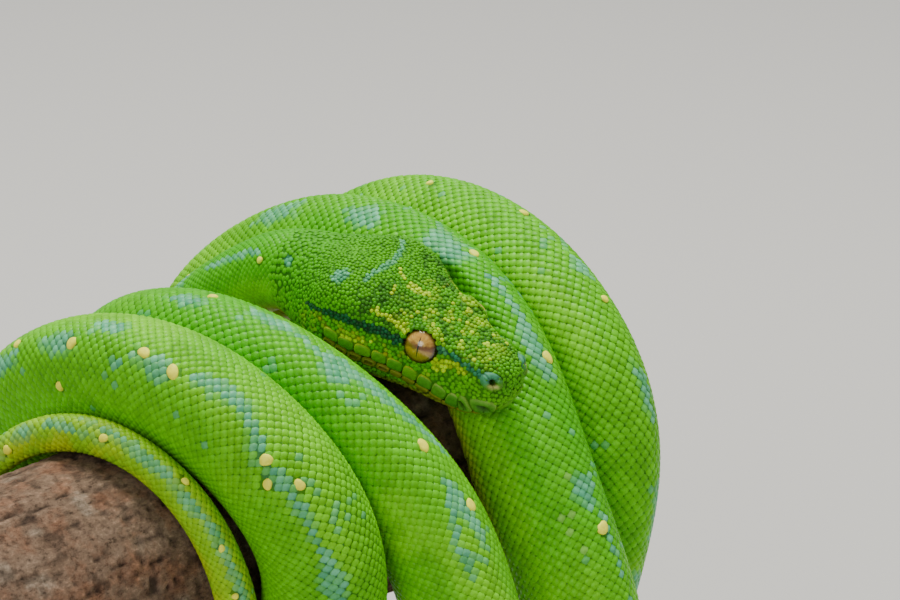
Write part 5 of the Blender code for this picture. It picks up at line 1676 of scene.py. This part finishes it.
def build_perch():
    n, m = 420, 176
    x0, x1 = PERCH[0][0], PERCH[-1][0]
    x = np.linspace(x0, x1, n)
    th = np.arange(m)*2*pi/m
    X, T = np.meshgrid(x, th, indexing='ij')
    R = perch_radius(X)
    # round the noise by running it on the surface of the cylinder
    def wrapped(a, b, seed):
        k = T/(2*pi)
        p = noise(X/a, k*2*pi*26/b, seed)
        q = noise(X/a, (k - 1)*2*pi*26/b, seed)
        w = fade(k, 0.93, 1.0)
        return p*(1 - w) + q*w
    long_ridges = 0.6*wrapped(17.0, 3.6, 61) + 0.4*wrapped(6.0, 2.4, 62)
    lumps = 0.65*wrapped(8.0, 6.4, 63) + 0.35*wrapped(3.2, 2.9, 64)
    grit = wrapped(1.3, 1.2, 65)
    cracks = 0.7*wrapped(26.0, 2.4, 67) + 0.3*wrapped(5.0, 1.6, 68)
    crack = np.exp(-((cracks - 0.5)/0.030)**2)*fade(wrapped(11.0, 5.0, 69), 0.50, 0.64)
    depth = 0.02 + 0.5*(1 - long_ridges)**2 + 0.55*(1 - lumps) + 0.30*(1 - grit) + 0.65*crack
    # small pits in the bark
    pits = fade(wrapped(3.4, 2.6, 71), 0.80, 0.93)
    depth = depth + 0.5*pits
    R = R - depth
    P = np.stack([X, R*np.sin(T), R*np.cos(T)], -1)
    base = srgb(124, 102, 84)
    c = base + 0*X[..., None]
    mix = lambda c, col, k: c*(1 - k[..., None]) + col*k[..., None]
    # partly the bark's own colour and partly painted shade and light: it is painted lighter on its long ridges and
    # darker in its low lumps, cracks and pits
    c = mix(c, srgb(142, 122, 104), fade(long_ridges, 0.5, 0.9)*0.7)
    c = mix(c, srgb(86, 66, 52), fade(lumps, 0.0, 0.45)*0 + (1 - fade(lumps, 0.15, 0.45))*0.6)
    c = mix(c, srgb(150, 138, 122), fade(wrapped(6.0, 5.0, 73), 0.66, 0.82)*0.6)
    c = mix(c, srgb(38, 28, 22), np.clip(crack + pits*0.9, 0, 1)*0.85)
    c = mix(c, srgb(60, 46, 36), fade(wrapped(2.2, 1.4, 75), 0.68, 0.8)*0.6)
    q = grid_faces(n, m)
    # sawn ends: a ring just inside the bark and a middle point, with square edges
    co = [P.reshape(-1, 3)]
    cols = [c.reshape(-1, 3)]
    faces = [q]
    face_mat = [np.zeros(len(q), int)]
    extra = n*m
    share = np.r_[0.975, 0.95, 0.925, np.linspace(0.90, 0.06, 22)]
    for row, flip in ((0, False), (n - 1, True)):
        inward = 1.0 if row == 0 else -1.0
        rim = P[row]
        radius = np.hypot(rim[:, 1], rim[:, 2])
        grid = rim[None]*np.r_[1.0, share][:, None, None]
        grid[..., 0] = rim[0, 0]
        r = radius[None]*share[:, None]
        # drying cracks run in from the edge along the rays
        split = np.zeros(r.shape)
        for a0, reach, wide in ((0.9, 0.25, 0.55), (2.7, 0.45, 0.42), (4.3, 0.15, 0.75), (5.5, 0.55, 0.35), (3.6, 0.70, 0.3)):
            way = a0 + 0.10*np.sin(r/3.1 + a0*5) + (0.2 if row else 0)
            off = abs((th[None] - way + pi) % (2*pi) - pi)*r
            open_ = wide*fade(share, reach, 0.95)[:, None]
            split = np.maximum(split, np.exp(-(off/np.maximum(open_, 0.05))**2)*fade(share, reach, reach + 0.15)[:, None])
        grid[1:, :, 0] += inward*(1.1*split + 0.10*noise(r*np.cos(th)[None]/1.1 + 40, r*np.sin(th)[None]/1.1 + 40, 81))
        # painted shade: the drying cracks are painted darker; the darker ring of bark at the edge and the darker middle
        # are the wood's own colour
        shade = np.where(share > 0.94, 0.42, np.where(share > 0.90, 0.70, 1.0))[:, None]*(1 - 0.85*split)
        shade = shade*(1 - 0.28*(1 - fade(share, 0.10, 0.42))[:, None])
        mid = np.array([[rim[0, 0] + inward*0.15, 0, 0]])
        co += [grid[1:].reshape(-1, 3), mid]
        tint = np.where((share > 0.90)[:, None, None], np.array([0.85, 0.78, 0.72]), np.array([1.0, 1.0, 1.0]))
        cols += [(shade[..., None]*tint).reshape(-1, 3), np.full((1, 3), 0.5)]
        j = np.arange(m)
        k = (j + 1) % m
        new = [np.stack([row*m + j, row*m + k, extra + k, extra + j], -1)]
        for g in range(len(share) - 1):
            o = extra + g*m
            new.append(np.stack([o + j, o + k, o + m + k, o + m + j], -1))
        o = extra + (len(share) - 1)*m
        new.append(np.stack([o + j, o + k, np.full(m, extra + len(share)*m)], -1))
        for f in new:
            faces.append(f if flip else f[:, ::-1])
            face_mat.append(np.full(m, 1))
        extra += len(share)*m + 1
    loops = np.concatenate([f.ravel() for f in faces])
    totals = np.concatenate([np.full(len(f), f.shape[1]) for f in faces])
    ob = mesh_object('perch_bark', np.vstack(co), loops, totals, [bark_material(), wood_end_material()],
                     np.clip(np.vstack(cols), 0, 1), None, 55, np.concatenate(face_mat))
    fix_normals(ob)
    ob.data.set_sharp_from_angle(angle=radians(55))
    return ob


perch_piece = build_perch()


# ---------------------------------------------------------------------------------------------- stand
def stand_materials():
    m, nodes, links, b = new_material('stand_board_paint', 0.42, 0.4)
    place = nodes.new('ShaderNodeTexCoord')
    mapping = node(nodes, 'ShaderNodeMapping')
    mapping.inputs['Scale'].default_value = (0.12, 1.0, 1.0)
    links.new(place.outputs['Object'], mapping.inputs['Vector'])
    grain = node(nodes, 'ShaderNodeTexNoise', Scale=260.0, Detail=6.0, Roughness=0.6)
    links.new(mapping.outputs['Vector'], grain.inputs['Vector'])
    col = ramp(nodes, [(0.3, (0.020, 0.018, 0.016)), (0.7, (0.045, 0.041, 0.036))])
    links.new(grain.outputs['Fac'], col.inputs['Fac'])
    links.new(col.outputs['Color'], b.inputs['Base Color'])
    rough = node(nodes, 'ShaderNodeMapRange')
    rough.inputs['To Min'].default_value = 0.34
    rough.inputs['To Max'].default_value = 0.5
    links.new(grain.outputs['Fac'], rough.inputs['Value'])
    links.new(rough.outputs['Result'], b.inputs['Roughness'])
    bump = node(nodes, 'ShaderNodeBump', Strength=0.25, Distance=0.0003)
    links.new(grain.outputs['Fac'], bump.inputs['Height'])
    links.new(bump.outputs['Normal'], b.inputs['Normal'])
    s, nodes, links, b = new_material('stand_rod_steel', 0.3, 0.5, metallic=1.0)
    place = nodes.new('ShaderNodeTexCoord')
    mapping = node(nodes, 'ShaderNodeMapping')
    mapping.inputs['Scale'].default_value = (1.0, 1.0, 0.03)
    links.new(place.outputs['Object'], mapping.inputs['Vector'])
    grain = node(nodes, 'ShaderNodeTexNoise', Scale=2400.0, Detail=3.0)
    links.new(mapping.outputs['Vector'], grain.inputs['Vector'])
    col = ramp(nodes, [(0.3, (0.42, 0.43, 0.44)), (0.7, (0.62, 0.63, 0.64))])
    links.new(grain.outputs['Fac'], col.inputs['Fac'])
    links.new(col.outputs['Color'], b.inputs['Base Color'])
    rough = node(nodes, 'ShaderNodeMapRange')
    rough.inputs['To Min'].default_value = 0.24
    rough.inputs['To Max'].default_value = 0.42
    links.new(grain.outputs['Fac'], rough.inputs['Value'])
    links.new(rough.outputs['Result'], b.inputs['Roughness'])
    return m, s


BOARD, STEEL = stand_materials()
for name in ('stand_base', 'stand_rod_1', 'stand_rod_2'):
    ob = frame['nodes'][name]
    for sl in ob.material_slots:
        sl.material = BOARD if name == 'stand_base' else STEEL

# ---------------------------------------------------------------------------------------------- riding and replacing
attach(skin, 'root')
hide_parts(*FLESH)
for ob in PIECES:
    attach(ob, 'root')
for ob, cad in ((eye_right, 'eye_right'), (eye_left, 'eye_left')):
    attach(ob, 'root')
    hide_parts(cad)
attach(perch_piece, 'root')
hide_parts('perch')

# ---------------------------------------------------------------------------------------------- floor, light, camera
fm, fnodes, flinks, fb = new_material('floor_plain', 0.9, 0.2)
fb.inputs['Base Color'].default_value = (0.62, 0.61, 0.59, 1)
bpy.ops.mesh.primitive_plane_add(size=6.0, location=(0, 0, 0))
floor = bpy.context.object
floor.name = 'floor'
floor.data.materials.append(fm)

TARGET = Vector((0.056, 0.0, 0.1612))
AZ, EL, FAR = radians(45.2), radians(21.5), 0.72
toward = Vector((-cos(AZ)*cos(EL), -sin(AZ)*cos(EL), sin(EL)))
cam_data = bpy.data.cameras.new('camera')
cam_data.sensor_width = 36.0
cam_data.lens = 36.0*3428.6/900.0
cam_data.clip_start = 0.02
cam = bpy.data.objects.new('camera', cam_data)
bpy.context.collection.objects.link(cam)
cam.location = TARGET + toward*FAR
cam.rotation_euler = (-toward).to_track_quat('-Z', 'Y').to_euler()
bpy.context.scene.camera = cam


def area_light(name, place, aim, size, power, colour=(1, 1, 1)):
    d = bpy.data.lights.new(name, 'AREA')
    d.shape = 'DISK'
    d.size = size
    d.energy = power
    d.color = colour
    ob = bpy.data.objects.new(name, d)
    bpy.context.collection.objects.link(ob)
    ob.location = place
    ob.rotation_euler = (Vector(aim) - Vector(place)).to_track_quat('-Z', 'Y').to_euler()
    return ob


area_light('light_top', (0.25, 0.30, 1.25), (0, 0, 0.16), 0.7, 21.5, (1.0, 0.985, 0.93))
area_light('light_front', (-1.1, -0.55, 0.75), (0, 0, 0.16), 0.7, 6.0, (1.0, 0.99, 0.96))
area_light('light_side', (0.9, -0.9, 0.7), (0, 0, 0.16), 0.8, 3.0, (1.0, 0.98, 0.95))
world_ = bpy.data.worlds.new('studio')
world_.use_nodes = True
world_.node_tree.nodes['Background'].inputs['Color'].default_value = (0.84, 0.85, 0.84, 1)
world_.node_tree.nodes['Background'].inputs['Strength'].default_value = 0.40
bpy.context.scene.world = world_
